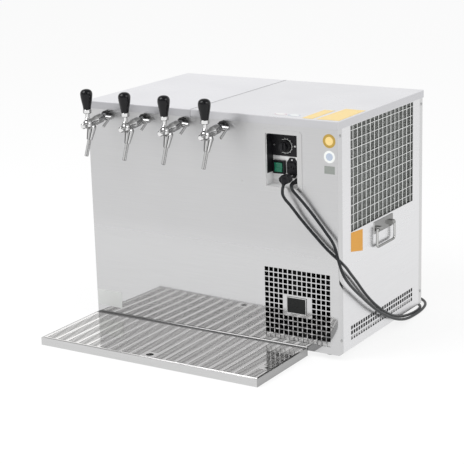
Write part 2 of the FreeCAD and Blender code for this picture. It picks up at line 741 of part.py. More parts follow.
def make_side_panel(name, side):
    """Side panel between the returns, its tabs joggled behind them; side is 1 or -1."""
    start = d.front_wrap + d.fit_gap
    end = d.cabinet_depth - d.back_wrap - d.fit_gap
    outer = ZERO
    skin = -d.sheet * side
    step = -(d.sheet + d.fit_gap) * side
    inner = -(d.sheet * 2 + d.fit_gap) * side
    profile = [
        (outer, start),
        (outer, end),
        (step, end),
        (step, end + d.side_tab),
        (inner, end + d.side_tab),
        (inner, end - d.sheet),
        (skin, end - d.sheet),
        (skin, start + d.sheet),
        (inner, start + d.sheet),
        (inner, start - d.side_tab),
        (step, start - d.side_tab),
        (step, start),
    ]
    panel = body(name + "_body", half_width * side, front, d.foot_height)
    pad(panel, sketch_on(panel, "XY", name + "_plan", [profile]), panel_height)
    if side > 0:
        opening = rectangle(
            (d.grille_front, d.grille_back),
            (d.grille_low - d.foot_height, d.grille_high - d.foot_height),
        )
        pocket(panel, sketch_on(panel, "YZ", name + "_opening", [opening]), d.sheet + d.cut_overrun)
        half = d.vent_hole / 2
        wires = grid_wires(
            "YZ", half_width + d.cut_overrun,
            (inward(d.side_vent_front) - half, d.side_vent_low - half),
            (d.vent_hole, d.vent_hole), (d.vent_pitch, d.vent_pitch),
            (count(d.side_vent_columns_count), count(d.side_vent_rows_count)),
        )
        panel = punch(name, panel, wires, vector(-(d.sheet + d.cut_overrun * 2), ZERO, ZERO))
    return finish(panel, name)


def make_lid(name, side):
    """One of the two lids: a folded sheet whose rim laps over the panels; side is 1 or -1."""
    overhang = d.sheet + d.fit_gap
    seam = across(d.lid_seam) + d.lid_seam_gap / 2 * side
    end = (half_width + overhang) * side
    wall = d.sheet * side
    near = front - overhang
    far = back + overhang
    lid = body(name + "_body", ZERO, ZERO, lid_underside)
    top = rectangle((seam, end), (near, far))
    pad(lid, sketch_on(lid, "XY", name + "_top", [top]), d.sheet)
    rim = [
        (seam, near),
        (end, near),
        (end, far),
        (seam, far),
        (seam, far - d.sheet),
        (end - wall, far - d.sheet),
        (end - wall, near + d.sheet),
        (seam, near + d.sheet),
    ]
    pad(lid, sketch_on(lid, "XY", name + "_rim", [rim]), d.lid_flange - d.sheet, True)
    fold = rectangle((seam, seam + wall), (inner_front, inner_back))
    pad(lid, sketch_on(lid, "XY", name + "_fold", [fold]), d.lid_seam_flange, True)
    return finish(lid, name)


def make_base():
    """Base pan on four rubber feet."""
    pan = body("base_pan_body", ZERO, ZERO, d.foot_height)
    sides = (-inner_half_width, inner_half_width)
    outer = rectangle(sides, (inner_front, inner_back))
    pad(pan, sketch_on(pan, "XY", "base_pan_plan", [outer]), d.pan_wall)
    inner = rectangle(
        (sides[0] + d.sheet, sides[1] - d.sheet),
        (inner_front + d.sheet, inner_back - d.sheet),
    )
    well = sketch_on(pan, "XY", "base_pan_well", [inner])
    well.setExpression("AttachmentOffset.Base.z", d.sheet.text)
    pocket(pan, well, d.pan_wall, True)
    finish(pan, "base_pan")
    feet = []
    for x in (-half_width + d.foot_inset, half_width - d.foot_inset):
        for y in (inward(d.foot_inset), back - d.foot_inset):
            tread = d.foot_radius - d.sheet * 2
            feet.append(cone("foot", (x, y, ZERO), "+Z", tread, d.foot_radius, d.foot_height))
    finish(fuse("feet_set", feet), "feet")


def hollow(name, x, y, z, wall, floor):
    """An open-topped box of sheet."""
    shell = body(name + "_body", ZERO, ZERO, z[0])
    pad(shell, sketch_on(shell, "XY", name + "_plan", [rectangle(x, y)]), z[1] - z[0])
    inner = rectangle((x[0] + wall, x[1] - wall), (y[0] + wall, y[1] - wall))
    well = sketch_on(shell, "XY", name + "_well", [inner])
    well.setExpression("AttachmentOffset.Base.z", floor.text)
    pocket(shell, well, z[1] - z[0], True)
    return finish(shell, name)


def welded_tank(name, x, y, z, wall, rim):
    """An open tank welded from a floor and four walls, each wall with an outward rim."""
    low = z[0] + wall
    edge = z[1] - wall
    between = (x[0] + wall, x[1] - wall)
    plates = [box(name + "_floor", x, y, (z[0], low))]
    for side, place_x, rim_x in (
        ("left", (x[0], between[0]), (x[0] - rim, between[0])),
        ("right", (between[1], x[1]), (between[1], x[1] + rim)),
    ):
        sheet = box(name + "_" + side + "_sheet", place_x, y, (low, edge))
        lip = box(name + "_" + side + "_rim", rim_x, (y[0] - rim, y[1] + rim), (edge, z[1]))
        plates.append(fuse(name + "_" + side, [sheet, lip]))
    for side, place_y, rim_y in (
        ("front", (y[0], y[0] + wall), (y[0] - rim, y[0] + wall)),
        ("back", (y[1] - wall, y[1]), (y[1] - wall, y[1] + rim)),
    ):
        sheet = box(name + "_" + side + "_sheet", between, place_y, (low, edge))
        lip = box(name + "_" + side + "_rim", between, rim_y, (edge, z[1]))
        plates.append(fuse(name + "_" + side, [sheet, lip]))
    tank = doc.addObject("Part::Compound", name + "_plates")
    tank.Links = plates
    return finish(tank, name)


def make_bath():
    """Water bath, its insulation and the wall beside the compressor."""
    x = (across(d.bath_left), across(d.bath_right))
    y = (inward(d.bath_front), inward(d.bath_back))
    welded_tank("bath_tank", x, y, (d.bath_floor, d.bath_top), d.bath_wall, d.bath_rim)
    foam_x = (across(d.foam_left), across(d.foam_right))
    foam_y = (inward(d.foam_front), inward(d.foam_back))
    bottom = pan_floor + d.fit_gap
    top = d.bath_top - d.bath_wall - d.fit_gap
    foam = body("tank_insulation_body", ZERO, ZERO, bottom)
    pad(foam, sketch_on(foam, "XY", "tank_insulation_plan", [rectangle(foam_x, foam_y)]), top - bottom)
    gap = d.fit_gap
    room = rectangle((x[0] - gap, x[1] + gap), (y[0] - gap, y[1] + gap))
    well = sketch_on(foam, "XY", "tank_insulation_well", [room])
    well.setExpression("AttachmentOffset.Base.z", (d.bath_floor - gap - bottom).text)
    pocket(foam, well, top - bottom, True)
    finish(foam, "tank_insulation")
    wall_x = (across(d.partition_left), across(d.partition_left) + d.sheet)
    wall_z = (pan_floor, lid_underside - d.fit_gap)
    wall_y = (inner_front + d.sheet + d.fit_gap, inner_back - d.sheet - d.fit_gap)
    finish(box("partition_wall", wall_x, wall_y, wall_z), "partition")


def coil_tube(centre, radius, low, rise, turns, tube):
    """One unbroken tube wound in quarter turns, from its lowest turn upwards."""
    quarters = int(round(turns * 4))

    def on_coil(step):
        angle = math.pi / 2 * step
        climb = rise * step / 4
        return centre + Vector(radius * math.cos(angle), radius * math.sin(angle), low + climb)

    edges = []
    for quarter in range(quarters):
        points = [on_coil(quarter + share) for share in (0, 0.5, 1)]
        edges.append(Part.Arc(*points).toShape())
    path = Part.Wire(edges)
    start = on_coil(0)
    along = edges[0].tangentAt(edges[0].FirstParameter)
    ring = Part.Wire(Part.Circle(start, along, tube).toShape())
    return path.makePipeShell([ring], True, False), rise - tube * 2


def make_coils():
    """Beer coil inside the evaporator coil, both in the bath."""
    middle = (across(d.bath_left) + across(d.bath_right)) / 2
    depth = (inward(d.bath_front) + inward(d.bath_back)) / 2
    centre = vector(middle, depth, ZERO)
    tube = d.coil_tube.value
    low = (d.bath_floor + d.bath_wall + d.fit_gap + d.coil_tube).value
    beer, beer_gap = coil_tube(
        centre, d.coil_radius.value, low, d.coil_rise.value, count(d.coil_turns_count), tube
    )
    finish(solid("beer_coils", beer), "beer_coils")
    cold, cold_gap = coil_tube(
        centre, d.evaporator_radius.value, low, d.evaporator_rise.value,
        count(d.evaporator_turns_count), tube
    )
    finish(solid("evaporator_coil", cold), "evaporator_coil")
    print("coil self gaps", round(beer_gap, 2), round(cold_gap, 2))


def make_stirrer():
    """Stirrer motor on a bracket over the bath, its shaft and its propeller."""
    x = across(d.stirrer_x)
    y = inward(d.stirrer_y)
    low = d.bath_top
    top = low + d.stirrer_bracket_sheet
    reach = d.stirrer_motor_radius
    bracket = box(
        "stirrer_bracket",
        (x - reach, across(d.bath_right) + d.bath_rim),
        (y - reach, inward(d.bath_back) + d.bath_rim),
        (low, top),
    )
    motor = rod("stirrer_case", (x, y, top), "+Z", d.stirrer_motor_radius, d.stirrer_motor_height)
    bore_radius = d.stirrer_shaft_radius + d.running_gap
    depth = d.stirrer_motor_height / 2
    bore = rod("stirrer_bore", (x, y, low - d.cut_overrun), "+Z", bore_radius, depth + d.cut_overrun)
    finish(cut("stirrer_block", fuse("stirrer_solid", [bracket, motor]), bore), "agitator_motor")
    foot = low - d.stirrer_shaft_length
    inside = depth - d.stirrer_bracket_sheet
    shaft = rod("stirrer_rod", (x, y, foot), "+Z", d.stirrer_shaft_radius, d.stirrer_shaft_length + inside)
    hub = rod("stirrer_hub", (x, y, foot), "+Z", d.stirrer_shaft_radius * 2, d.stirrer_shaft_radius * 4)
    blades = []
    for number in range(count(d.stirrer_blade_count)):
        blade = doc.addObject("Part::Box", "stirrer_blade")
        bind(blade, "Length", d.stirrer_blade_radius)
        bind(blade, "Width", d.stirrer_shaft_radius * 3)
        bind(blade, "Height", d.stirrer_blade_sheet)
        turn = Rotation(Vector(0, 0, 1), d.full_turn_angle.value * number / count(d.stirrer_blade_count))
        pitch = Rotation(Vector(1, 0, 0), d.stirrer_blade_angle.value)
        place(blade, x, y, foot + d.stirrer_shaft_radius * 2, turn.multiply(pitch))
        blades.append(blade)
    finish(fuse("stirrer_rotor", [shaft, hub] + blades, False), "agitator_shaft")


def make_compressor():
    """Hermetic compressor on a plate with rubber grommets."""
    x = across(d.compressor_x)
    y = inward(d.compressor_y)
    reach = d.compressor_radius
    low = pan_floor
    plate_z = low + d.compressor_grommet
    shell_z = plate_z + d.compressor_plate
    shell = body("compressor_shell", x, y, shell_z)
    top = d.compressor_height - (shell_z - pan_floor)
    bulge = (reach * reach + d.compressor_dome * d.compressor_dome) / (d.compressor_dome * 2)
    outline = [
        (ZERO, ZERO),
        (reach * 0.62, ZERO),
        (reach, d.compressor_dome),
        (reach, top - d.compressor_dome),
        (ZERO, top, bulge),
    ]
    revolve(shell, sketch_on(shell, "XZ", "compressor_profile", [outline]), "Z")
    plate = box("compressor_foot", (x - reach, x + reach), (y - reach, y + reach), (plate_z, shell_z))
    feet = []
    foot_share = 0.82
    for side_x in (-foot_share, foot_share):
        for side_y in (-foot_share, foot_share):
            spot = (x + reach * side_x, y + reach * side_y, low)
            feet.append(rod("compressor_grommet", spot, "+Z", d.compressor_grommet, d.compressor_grommet))
    finish(fuse("compressor_set", [shell, plate] + feet), "compressor")


net_outer = half_width - d.sheet - d.fit_gap
net_inner = net_outer - d.mesh_sheet
core_outer = net_inner - d.fit_gap
core_inner = core_outer - d.condenser_depth
baffle_outer = core_inner
baffle_inner = baffle_outer - d.shroud_sheet
grille_middle_y = inward((d.grille_front + d.grille_back) / 2)
grille_middle_z = (d.grille_low + d.grille_high) / 2


def make_net():
    """Square mesh behind the side opening, as one holed sheet."""
    width = d.mesh_pitch * d.mesh_columns_count + d.mesh_wire
    height = d.mesh_pitch * d.mesh_rows_count + d.mesh_wire
    near = grille_middle_y - width / 2
    low = grille_middle_z - height / 2
    gap = d.mesh_pitch - d.mesh_wire
    far = near + width
    high = low + height
    outline = corners("YZ", net_outer.value, (near.value, far.value), (low.value, high.value))
    gaps = grid_wires(
        "YZ", net_outer, (near + d.mesh_wire, low + d.mesh_wire), (gap, gap),
        (d.mesh_pitch, d.mesh_pitch), (count(d.mesh_columns_count), count(d.mesh_rows_count)),
    )
    thickness = vector(-d.mesh_sheet, ZERO, ZERO)
    finish(holed_sheet("side_grille_sheet", [outline] + gaps, thickness), "side_grille")


def make_condenser():
    """Finned condenser behind the mesh, on a baffle with the fan's collar."""
    margin = d.condenser_margin
    near = inward(d.grille_front) - margin
    far = inward(d.grille_back) + margin
    low = d.grille_low - margin
    high = d.grille_high + margin
    core = body("condenser_body", core_outer, ZERO, ZERO)
    face = sketch_on(core, "YZ", "condenser_face", [rectangle((near, far), (low, high))])
    pad(core, face, d.condenser_depth, True)
    gap = rectangle(
        (near + d.condenser_fin, near + d.condenser_fin_pitch),
        (low + d.condenser_fin, high - d.condenser_fin),
    )
    groove = pocket(core, sketch_on(core, "YZ", "condenser_gap", [gap]), d.condenser_fin_depth)
    room = (far - near - d.condenser_fin).value
    fins = int(room / d.condenser_fin_pitch.value)
    repeat(core, groove, ("Y", Size(fins, repr(fins)), d.condenser_fin_pitch))
    finish(core, "condenser_core")
    baffle = body("fan_shroud_body", baffle_outer, ZERO, ZERO)
    plate = rectangle((near, far), (pan_floor, high))
    pad(baffle, sketch_on(baffle, "YZ", "fan_shroud_plate", [plate]), d.shroud_sheet, True)
    inside = d.fan_radius + d.fan_tip_gap
    middle = (grille_middle_y, grille_middle_z)
    ring = sketch_on(baffle, "YZ", "fan_shroud_collar", (), [middle + (inside + d.shroud_sheet,)])
    pad(baffle, ring, d.shroud_sheet + d.shroud_collar, True)
    hole = sketch_on(baffle, "YZ", "fan_shroud_hole", (), [middle + (inside,)])
    pocket(baffle, hole, d.shroud_sheet + d.shroud_collar + d.cut_overrun)
    finish(baffle, "fan_shroud")


def make_fan():
    """Axial fan in the collar, its motor held by a strap across the collar."""
    y = grille_middle_y
    z = grille_middle_z
    hub_outer = baffle_outer - d.fan_face_gap
    hub_inner = hub_outer - d.fan_hub_depth
    motor_face = hub_inner - d.fit_gap
    motor_end = motor_face - d.fan_motor_length
    inside = d.fan_hub_depth - d.shroud_sheet
    hub = rod("fan_hub", (hub_inner, y, z), "+X", d.fan_hub_radius, d.fan_hub_depth)
    blades = []
    total = count(d.fan_blade_count)
    for number in range(total):
        blades.append(solid("fan_blade", fan_blade(hub_inner, y, z, number / total)))
    bore_radius = d.fan_shaft_radius + d.running_gap
    bore = rod("fan_bore", (hub_inner - d.cut_overrun, y, z), "+X", bore_radius, inside + d.cut_overrun)
    finish(cut("fan_wheel", fuse("fan_solid", [hub] + blades), bore), "condenser_fan")
    case = rod("fan_motor_case", (motor_end, y, z), "+X", d.fan_motor_radius, d.fan_motor_length)
    shaft = rod("fan_motor_shaft", (motor_face, y, z), "+X", d.fan_shaft_radius, inside)
    reach = d.fan_radius + d.fan_tip_gap + d.shroud_sheet * 2
    strap_x = (motor_end - d.fan_strap_sheet, motor_end)
    strap_z = (z - d.fan_strap / 2, z + d.fan_strap / 2)
    strap_reach = reach + d.fan_strap_sheet
    bar = box("fan_strap_bar", strap_x, (y - strap_reach, y + strap_reach), strap_z)
    legs = []
    for start in (y - reach - d.fan_strap_sheet, y + reach):
        leg_x = (motor_end - d.fan_strap_sheet, baffle_inner)
        legs.append(box("fan_strap_leg", leg_x, (start, start + d.fan_strap_sheet), strap_z))
    finish(fuse("fan_motor_set", [case, shaft, bar] + legs), "fan_motor")


def fan_blade(hub_x, y, z, share):
    """One fan blade: a thin sheet that widens outwards and loses pitch towards its tip."""
    middle = Vector(hub_x.value + d.fan_hub_depth.value / 2, y.value, z.value)
    sections = []
    root_share = 0.9
    spans = ((root_share * d.fan_hub_radius.value, 1.0, 0.62), (d.fan_radius.value, 0.62, 1.0))
    for radius, pitch_share, width_share in spans:
        angle = math.radians(d.fan_blade_angle.value * pitch_share)
        half_chord = d.fan_hub_radius.value * width_share
        half_sheet = d.fan_blade_sheet.value / 2
        chord = Vector(math.sin(angle), math.cos(angle), 0)
        normal = Vector(math.cos(angle), -math.sin(angle), 0)
        corners = []
        for along, out in ((-1, -1), (1, -1), (1, 1), (-1, 1)):
            corners.append(chord * (half_chord * along) + normal * (half_sheet * out) + Vector(0, 0, radius))
        sections.append(Part.makePolygon(corners + corners[:1]))
    blade = Part.makeLoft(sections, True, True)
    blade.rotate(Vector(0, 0, 0), Vector(1, 0, 0), 360 * share)
    blade.translate(middle)
    return blade


def recess_places():
    """The recess opening's sides and heights."""
    sides = (across(d.recess_left), across(d.recess_right))
    return sides, (d.recess_low, d.recess_high)


def make_recess():
    """Folded control recess with a flange on the front panel, notched at its corners."""
    sides, heights = recess_places()
    recess = body("control_recess_body", ZERO, front - d.recess_sheet, ZERO)
    left = sides[0] - d.recess_flange_left
    right = sides[1] + d.recess_flange_right
    low = heights[0] - d.recess_flange_up
    high = heights[1] + d.recess_flange_up
    notch = d.recess_notch
    flange = [
        (left + notch, low),
        (right - notch, low),
        (right - notch, low + notch),
        (right, low + notch),
        (right, high - notch),
        (right - notch, high - notch),
        (right - notch, high),
        (left + notch, high),
        (left + notch, high - notch),
        (left, high - notch),
        (left, low + notch),
        (left + notch, low + notch),
    ]
    pad(recess, sketch_on(recess, "XZ", "recess_flange", [flange]), d.recess_sheet, True)
    wall = d.recess_sheet
    block = rectangle((sides[0] - wall, sides[1] + wall), (heights[0] - wall, heights[1] + wall))
    pad(recess, sketch_on(recess, "XZ", "recess_box", [block]), d.recess_depth + wall * 2, True)
    room = sketch_on(recess, "XZ", "recess_room", [rectangle(sides, heights)])
    pocket(recess, room, d.recess_depth + wall)
    finish(recess, "control_recess")


recess_back = inward(d.recess_depth)


def make_thermostat():
    """Black thermostat plate, its knob and the screws of the recess."""
    left = across(d.recess_left) + d.fit_gap
    plate_y = recess_back - d.thermostat_sheet
    x = across(d.knob_x)
    plate = box(
        "thermostat_blank",
        (left, left + d.thermostat_width),
        (plate_y, recess_back),
        (d.thermostat_low, d.thermostat_high),
    )
    bore_radius = d.knob_rib + d.running_gap
    bore = rod("thermostat_bore", (x, plate_y - d.cut_overrun, d.knob_z), "+Y", bore_radius,
               d.thermostat_sheet + d.cut_overrun - d.fit_gap)
    finish(cut("thermostat_cut", plate, bore), "thermostat_plate")
    knob = body("thermostat_knob_body", x, plate_y, d.knob_z)
    gap = d.fit_gap
    reach = d.knob_reach
    profile = [
        (ZERO, d.thermostat_sheet - gap * 2),
        (d.knob_rib, d.thermostat_sheet - gap * 2),
        (d.knob_rib, -gap),
        (d.knob_radius, -gap),
        (d.knob_radius, -d.knob_skirt),
        (d.knob_grip_radius, -d.knob_skirt - gap * 4),
        (d.knob_grip_radius - gap * 3, d.knob_rib_step - reach),
        (ZERO, d.knob_rib_step - reach),
    ]
    revolve(knob, sketch_on(knob, "XY", "knob_profile", [profile]), "Y")
    rib = rectangle((-d.knob_rib, d.knob_rib), (-d.knob_grip_radius, d.knob_grip_radius))
    ridge = sketch_on(knob, "XZ", "knob_ridge", [rib])
    pad(knob, ridge, reach)
    finish(knob, "thermostat_knob")
    middle_z = d.knob_z
    screws = []
    for number in (0, 1):
        spot = across(d.thermostat_screw_left) + d.thermostat_screw_spread * number
        screws.append(screw_head("thermostat_screw", (spot, plate_y, middle_z + gap * 4)))
    face = recess_back - d.outlet_flange
    for way in (-1, 1):
        spot = d.outlet_z + d.outlet_screw_spread / 2 * way
        screws.append(screw_head("outlet_screw", (across(d.outlet_x), face, spot)))
    finish(fuse("control_screw_set", screws), "control_screws")


def screw_head(name, start):
    """A low screw head that faces the user."""
    radius = d.control_screw_radius
    return cone(name, start, "-Y", radius, radius * 0.8, d.control_screw_head)


def make_switch():
    """Power switch: a bezel and its green rocker on a pivot pin."""
    left = across(d.switch_left)
    right = left + d.switch_width
    low = d.switch_low
    high = low + d.switch_height
    middle_x = (left + right) / 2
    middle_z = (low + high) / 2
    face = recess_back - d.switch_depth
    bezel = box("switch_block", (left, right), (face, recess_back), (low, high))
    half_window = d.rocker_width / 2 + d.rocker_side_gap
    half_height = d.rocker_height / 2 + d.rocker_clearance
    window = box(
        "switch_window",
        (middle_x - half_window, middle_x + half_window),
        (face - d.cut_overrun, recess_back - d.fit_gap * 2),
        (middle_z - half_height, middle_z + half_height),
    )
    pivot_y = recess_back - d.rocker_stand - d.rocker_pin
    pin_half = half_window + d.rocker_pin_reach
    seat = rod("switch_seat", (middle_x - pin_half, pivot_y, middle_z), "+X",
               d.rocker_pin + d.running_gap, pin_half * 2)
    finish(cut("switch_frame", bezel, fuse("switch_room", [window, seat])), "switch_bezel")
    rocker = body("rocker_body", middle_x - d.rocker_width / 2, pivot_y, middle_z)
    tall = d.rocker_height / 2
    nose = face - pivot_y - d.rocker_stand
    profile = [
        (d.rocker_pin, -tall / 2),
        (d.rocker_pin, tall / 2),
        (nose / 2, tall),
        (nose, tall),
        (nose + d.rocker_stand / 2, ZERO),
        (nose, -tall),
        (nose / 2, -tall),
    ]
    pad(rocker, sketch_on(rocker, "YZ", "rocker_profile", [profile]), d.rocker_width)
    reach = pin_half - d.fit_gap
    pin = rod("rocker_pin_rod", (middle_x - reach, pivot_y, middle_z), "+X", d.rocker_pin, reach * 2)
    finish(fuse("rocker_set", [rocker, pin]), "rocker_switch")


def make_outlet():
    """Outlet: a flange with pointed ends and a raised block with three slots."""
    x = across(d.outlet_x)
    outlet = body("outlet_body", x, recess_back, d.outlet_z)
    half = d.outlet_width / 2
    tall = d.outlet_height / 2
    shoulder = d.outlet_block_height / 2
    flange = [
        (-d.outlet_tip, -tall),
        (d.outlet_tip, -tall),
        (half, -shoulder),
        (half, shoulder),
        (d.outlet_tip, tall),
        (-d.outlet_tip, tall),
        (-half, shoulder),
        (-half, -shoulder),
    ]
    pad(outlet, sketch_on(outlet, "XZ", "outlet_flange_plan", [flange]), d.outlet_flange)
    wide = d.outlet_block_width / 2
    high = d.outlet_block_height / 2
    bevel = d.outlet_block_bevel
    block = [
        (-wide, -high),
        (wide, -high),
        (wide, high - bevel),
        (wide - bevel, high),
        (bevel - wide, high),
        (-wide, high - bevel),
    ]
    pad(outlet, sketch_on(outlet, "XZ", "outlet_block_plan", [block]), d.outlet_block_depth)
    slots = []
    for side, rise in ((-1, 0), (0, 1), (1, 0)):
        middle = d.outlet_slot_spread / 2 * side
        lift = d.outlet_slot_rise * rise
        slots.append(rectangle(
            (middle - d.outlet_slot_width / 2, middle + d.outlet_slot_width / 2),
            (lift - d.outlet_slot_height / 2, lift + d.outlet_slot_height / 2),
        ))
    cuts = sketch_on(outlet, "XZ", "outlet_slots", slots)
    cuts.setExpression("AttachmentOffset.Base.z", d.outlet_block_depth.text)
    pocket(outlet, cuts, d.outlet_slot_depth)
    finish(outlet, "outlet_socket")


gland_face = recess_back - d.gland_reach
plug_face = inward(d.plug_back)
plug_front = plug_face - d.plug_length


def make_gland():
    """Cable gland: a hexagonal nut and a domed cap."""
    x = across(d.gland_x)
    gland = body("cable_gland_body", x, recess_back, d.gland_z)
    corners = []
    for number in range(6):
        angle = math.radians(60 * number)
        corners.append((d.gland_nut * math.cos(angle), d.gland_nut * math.sin(angle)))
    pad(gland, sketch_on(gland, "XZ", "gland_nut_plan", [corners]), d.gland_nut_depth)
    cap = cone("gland_cap_cone", (x, recess_back - d.gland_nut_depth, d.gland_z), "-Y",
               d.gland_nut * 0.86, d.gland_cap, d.gland_reach - d.gland_nut_depth)
    finish(fuse("cable_gland_set", [gland, cap]), "cable_gland")


def tail_turn():
    """The way the plug's strain relief points."""
    return Rotation(Vector(1, 0, 0), 90 + d.plug_tail_angle.value)


def make_plug():
    """Mains plug that lies in the recess on its own lead."""
    x = across(d.plug_x)
    plug = body("plug_body", x, plug_face, d.plug_z)
    wide = d.plug_width / 2
    high = d.plug_height / 2
    bevel = d.plug_bevel
    outline = [
        (bevel - wide, -high),
        (wide - bevel, -high),
        (wide, bevel - high),
        (wide, high - bevel),
        (wide - bevel, high),
        (bevel - wide, high),
        (-wide, high - bevel),
        (-wide, bevel - high),
    ]
    pad(plug, sketch_on(plug, "XZ", "plug_plan", [outline]), d.plug_length)
    tail = cone("plug_tail_cone", (x, plug_front + d.plug_tail / 2, d.plug_z), tail_turn(),
                high - d.fit_gap * 4, d.lead_radius + d.fit_gap, d.plug_tail * 1.5)
    pins = []
    for way in (-1, 1):
        spot = (x + d.plug_pin_spread / 2 * way, plug_face, d.plug_z + d.plug_pin_radius)
        pins.append(rod("plug_pin", spot, "+Y", d.plug_pin_radius, d.plug_pin_length))
    finish(fuse("mains_plug_set", [plug, tail] + pins), "mains_plug")


LEAD_POINTS = (
    # from the gland over the recess's lip and down the front
    (609.5, 24.0, 436.0), (609.5, 6.0, 436.0), (614.4, -6.5, 431.3), (622.9, -13.4, 422.9),
    (641.3, -13.0, 406.3), (666.0, -9.8, 379.2), (691.0, -8.8, 350.5), (712.5, -9.8, 326.0),
    (728.5, -12.6, 309.5), (738.8, -15.6, 294.5), (745.6, -17.0, 272.0), (751.6, -14.6, 247.5),
    (755.6, -5.5, 224.0), (756.2, 14.0, 203.5), (755.6, 39.0, 182.0), (755.2, 68.0, 160.0),
    (755.0, 98.0, 138.5), (755.2, 131.0, 114.0), (755.6, 166.0, 89.5), (755.8, 206.0, 65.0),
    (757.0, 249.0, 42.5), (757.6, 297.0, 22.0), (758.0, 348.0, 8.5), (757.0, 402.0, 4.2),
    (755.0, 454.0, 4.1),
    # the loop on the counter behind the cabinet
    (744.0, 504.0, 4.1), (716.0, 537.0, 4.1), (680.0, 551.0, 4.1), (644.0, 554.0, 4.1),
    (610.0, 547.5, 4.1), (587.0, 531.0, 4.1), (585.0, 507.0, 4.1), (603.0, 492.0, 4.1),
    (630.0, 489.5, 4.1), (662.0, 494.5, 4.1), (700.0, 498.0, 4.1), (729.0, 490.0, 4.1),
    # back along the side and up to the plug
    (744.0, 466.0, 4.1), (748.0, 430.0, 4.6), (747.0, 391.0, 7.0), (746.5, 350.0, 13.5),
    (746.5, 304.0, 26.5), (746.2, 256.0, 49.0), (746.6, 212.0, 75.5), (747.0, 170.0, 104.5),
    (747.0, 132.0, 135.0), (747.4, 100.0, 164.5), (748.2, 72.0, 191.0), (749.2, 45.0, 213.5),
    (750.2, 18.5, 238.0), (750.0, -1.0, 252.8), (742.0, -8.8, 264.5), (726.0, -9.4, 276.0),
    (708.0, -8.8, 289.8), (688.0, -8.4, 308.3), (662.0, -8.6, 333.0), (641.0, -9.8, 355.0),
    (626.5, -11.5, 372.5), (614.5, -15.0, 389.0), (603.5, -19.0, 401.5),
)


def lead_route():
    """The lead's points in the cooler's frame, ending at the plug's strain relief."""
    points = [Vector(x - half_width.value, y + front.value, z) for x, y, z in LEAD_POINTS]
    points[0] = vector(across(d.gland_x), gland_face, d.gland_z)
    reach = d.plug_tail.value * 1.5
    way = tail_turn().multVec(Vector(0, 0, 1))
    end = vector(across(d.plug_x), plug_front + d.plug_tail / 2, d.plug_z) + way * reach
    return points + [end + way * (d.lead_radius.value * 4.8), end]


def lead_path(points):
    """Straight runs joined by arcs, and the radius of each arc."""
    edges = []
    radii = []
    here = points[0]
    for before, corner, after in zip(points, points[1:], points[2:]):
        arriving = (corner - before).normalize()
        leaving = (after - corner).normalize()
        half_turn = arriving.getAngle(leaving) / 2
        setback = 0.45 * min((corner - before).Length, (after - corner).Length)
        radii.append(setback / math.tan(half_turn))
        start = corner - arriving * setback
        end = corner + leaving * setback
        inward_way = (leaving - arriving).normalize()
        middle = corner + inward_way * (radii[-1] / math.cos(half_turn) - radii[-1])
        edges.append(Part.LineSegment(here, start).toShape())
        edges.append(Part.Arc(start, middle, end).toShape())
        here = end
    edges.append(Part.LineSegment(here, points[-1]).toShape())
    return Part.Wire(edges), radii


def make_lead():
    """Mains lead from the gland, down the front, round the side and back to its plug."""
    points = lead_route()
    path, radii = lead_path(points)
    start_way = (points[1] - points[0]).normalize()
    ring = Part.Wire(Part.Circle(points[0], start_way, d.lead_radius.value).toShape())
    tube = path.makePipeShell([ring], True, False)
    section = math.pi * d.lead_radius.value ** 2
    print("lead length", round(path.Length), "volume share", round(tube.Volume / (section * path.Length), 4))
    print("lead radii", [round(radius, 1) for radius in radii])
    print("lead lowest", round(tube.BoundBox.ZMin, 3))
    finish(solid("mains_lead", tube), "mains_lead")


def make_badge():
    """Blank badge in the middle of the front vent."""
    left = across(d.badge_left)
    low = d.badge_low
    plate = box(
        "badge_blank",
        (left, left + d.badge_width),
        (front - d.badge_sheet, front),
        (low, low + d.badge_height),
    )
    finish(plate, "badge_plate")


def make_panel_screws():
    """Screw heads in the returns of the front and back panels, on both sides."""
    heads = []
    for side, way in ((-1, "-X"), (1, "+X")):
        for y in (inward(d.panel_screw_inset), back - d.panel_screw_inset):
            for z in (d.panel_screw_low, d.panel_screw_high):
                spot = (half_width * side, y, z)
                tip = d.panel_screw_radius * 0.8
                heads.append(cone("panel_screw", spot, way, d.panel_screw_radius, tip, d.panel_screw_head))
    finish(fuse("panel_screw_set", heads), "panel_screws")


bail_corner_share = 1.4


def make_handle(side_name, side):
    """Carrying handle: a screwed plate with two knuckles and a drop bail; side is 1 or -1."""
    face = half_width * side
    middle = inward(d.handle_front + d.handle_length / 2)
    axis_x = (half_width + d.handle_stand) * side
    z = d.handle_axis_z
    outer = face + d.handle_sheet * side
    xs = (face, outer) if side > 0 else (outer, face)
    plate = box(
        side_name + "_handle_sheet",
        xs,
        (middle - d.handle_length / 2, middle + d.handle_length / 2),
        (d.handle_low, d.handle_high),
    )
    inner = d.bail_width / 2 - d.bail_rod * bail_corner_share - d.fit_gap
    pieces = [plate]
    bores = []
    for way in (-1, 1):
        start = middle + (inner if way > 0 else -inner)
        toward = "-Y" if way > 0 else "+Y"
        pieces.append(rod(side_name + "_knuckle", (axis_x, start, z), toward,
                          d.handle_knuckle, d.handle_knuckle_length))
        end = start - d.handle_knuckle_length * way
        web_y = (end, start) if way > 0 else (start, end)
        web_x = (outer, axis_x) if side > 0 else (axis_x, outer)
        pieces.append(box(side_name + "_web", web_x, web_y, (z - d.handle_knuckle, z + d.handle_knuckle)))
        beyond = start + d.cut_overrun * way
        bores.append(rod(side_name + "_bore", (axis_x, beyond, z), toward,
                         d.bail_rod + d.running_gap, d.bail_hook + d.cut_overrun + d.fit_gap))
    holder = cut(side_name + "_handle_cut", fuse(side_name + "_handle_solid", pieces),
                 fuse(side_name + "_bores", bores))
    finish(holder, side_name + "_handle_plate")
    finish(solid(side_name + "_bail", bail_shape(axis_x, middle, z)), side_name + "_handle_bail")


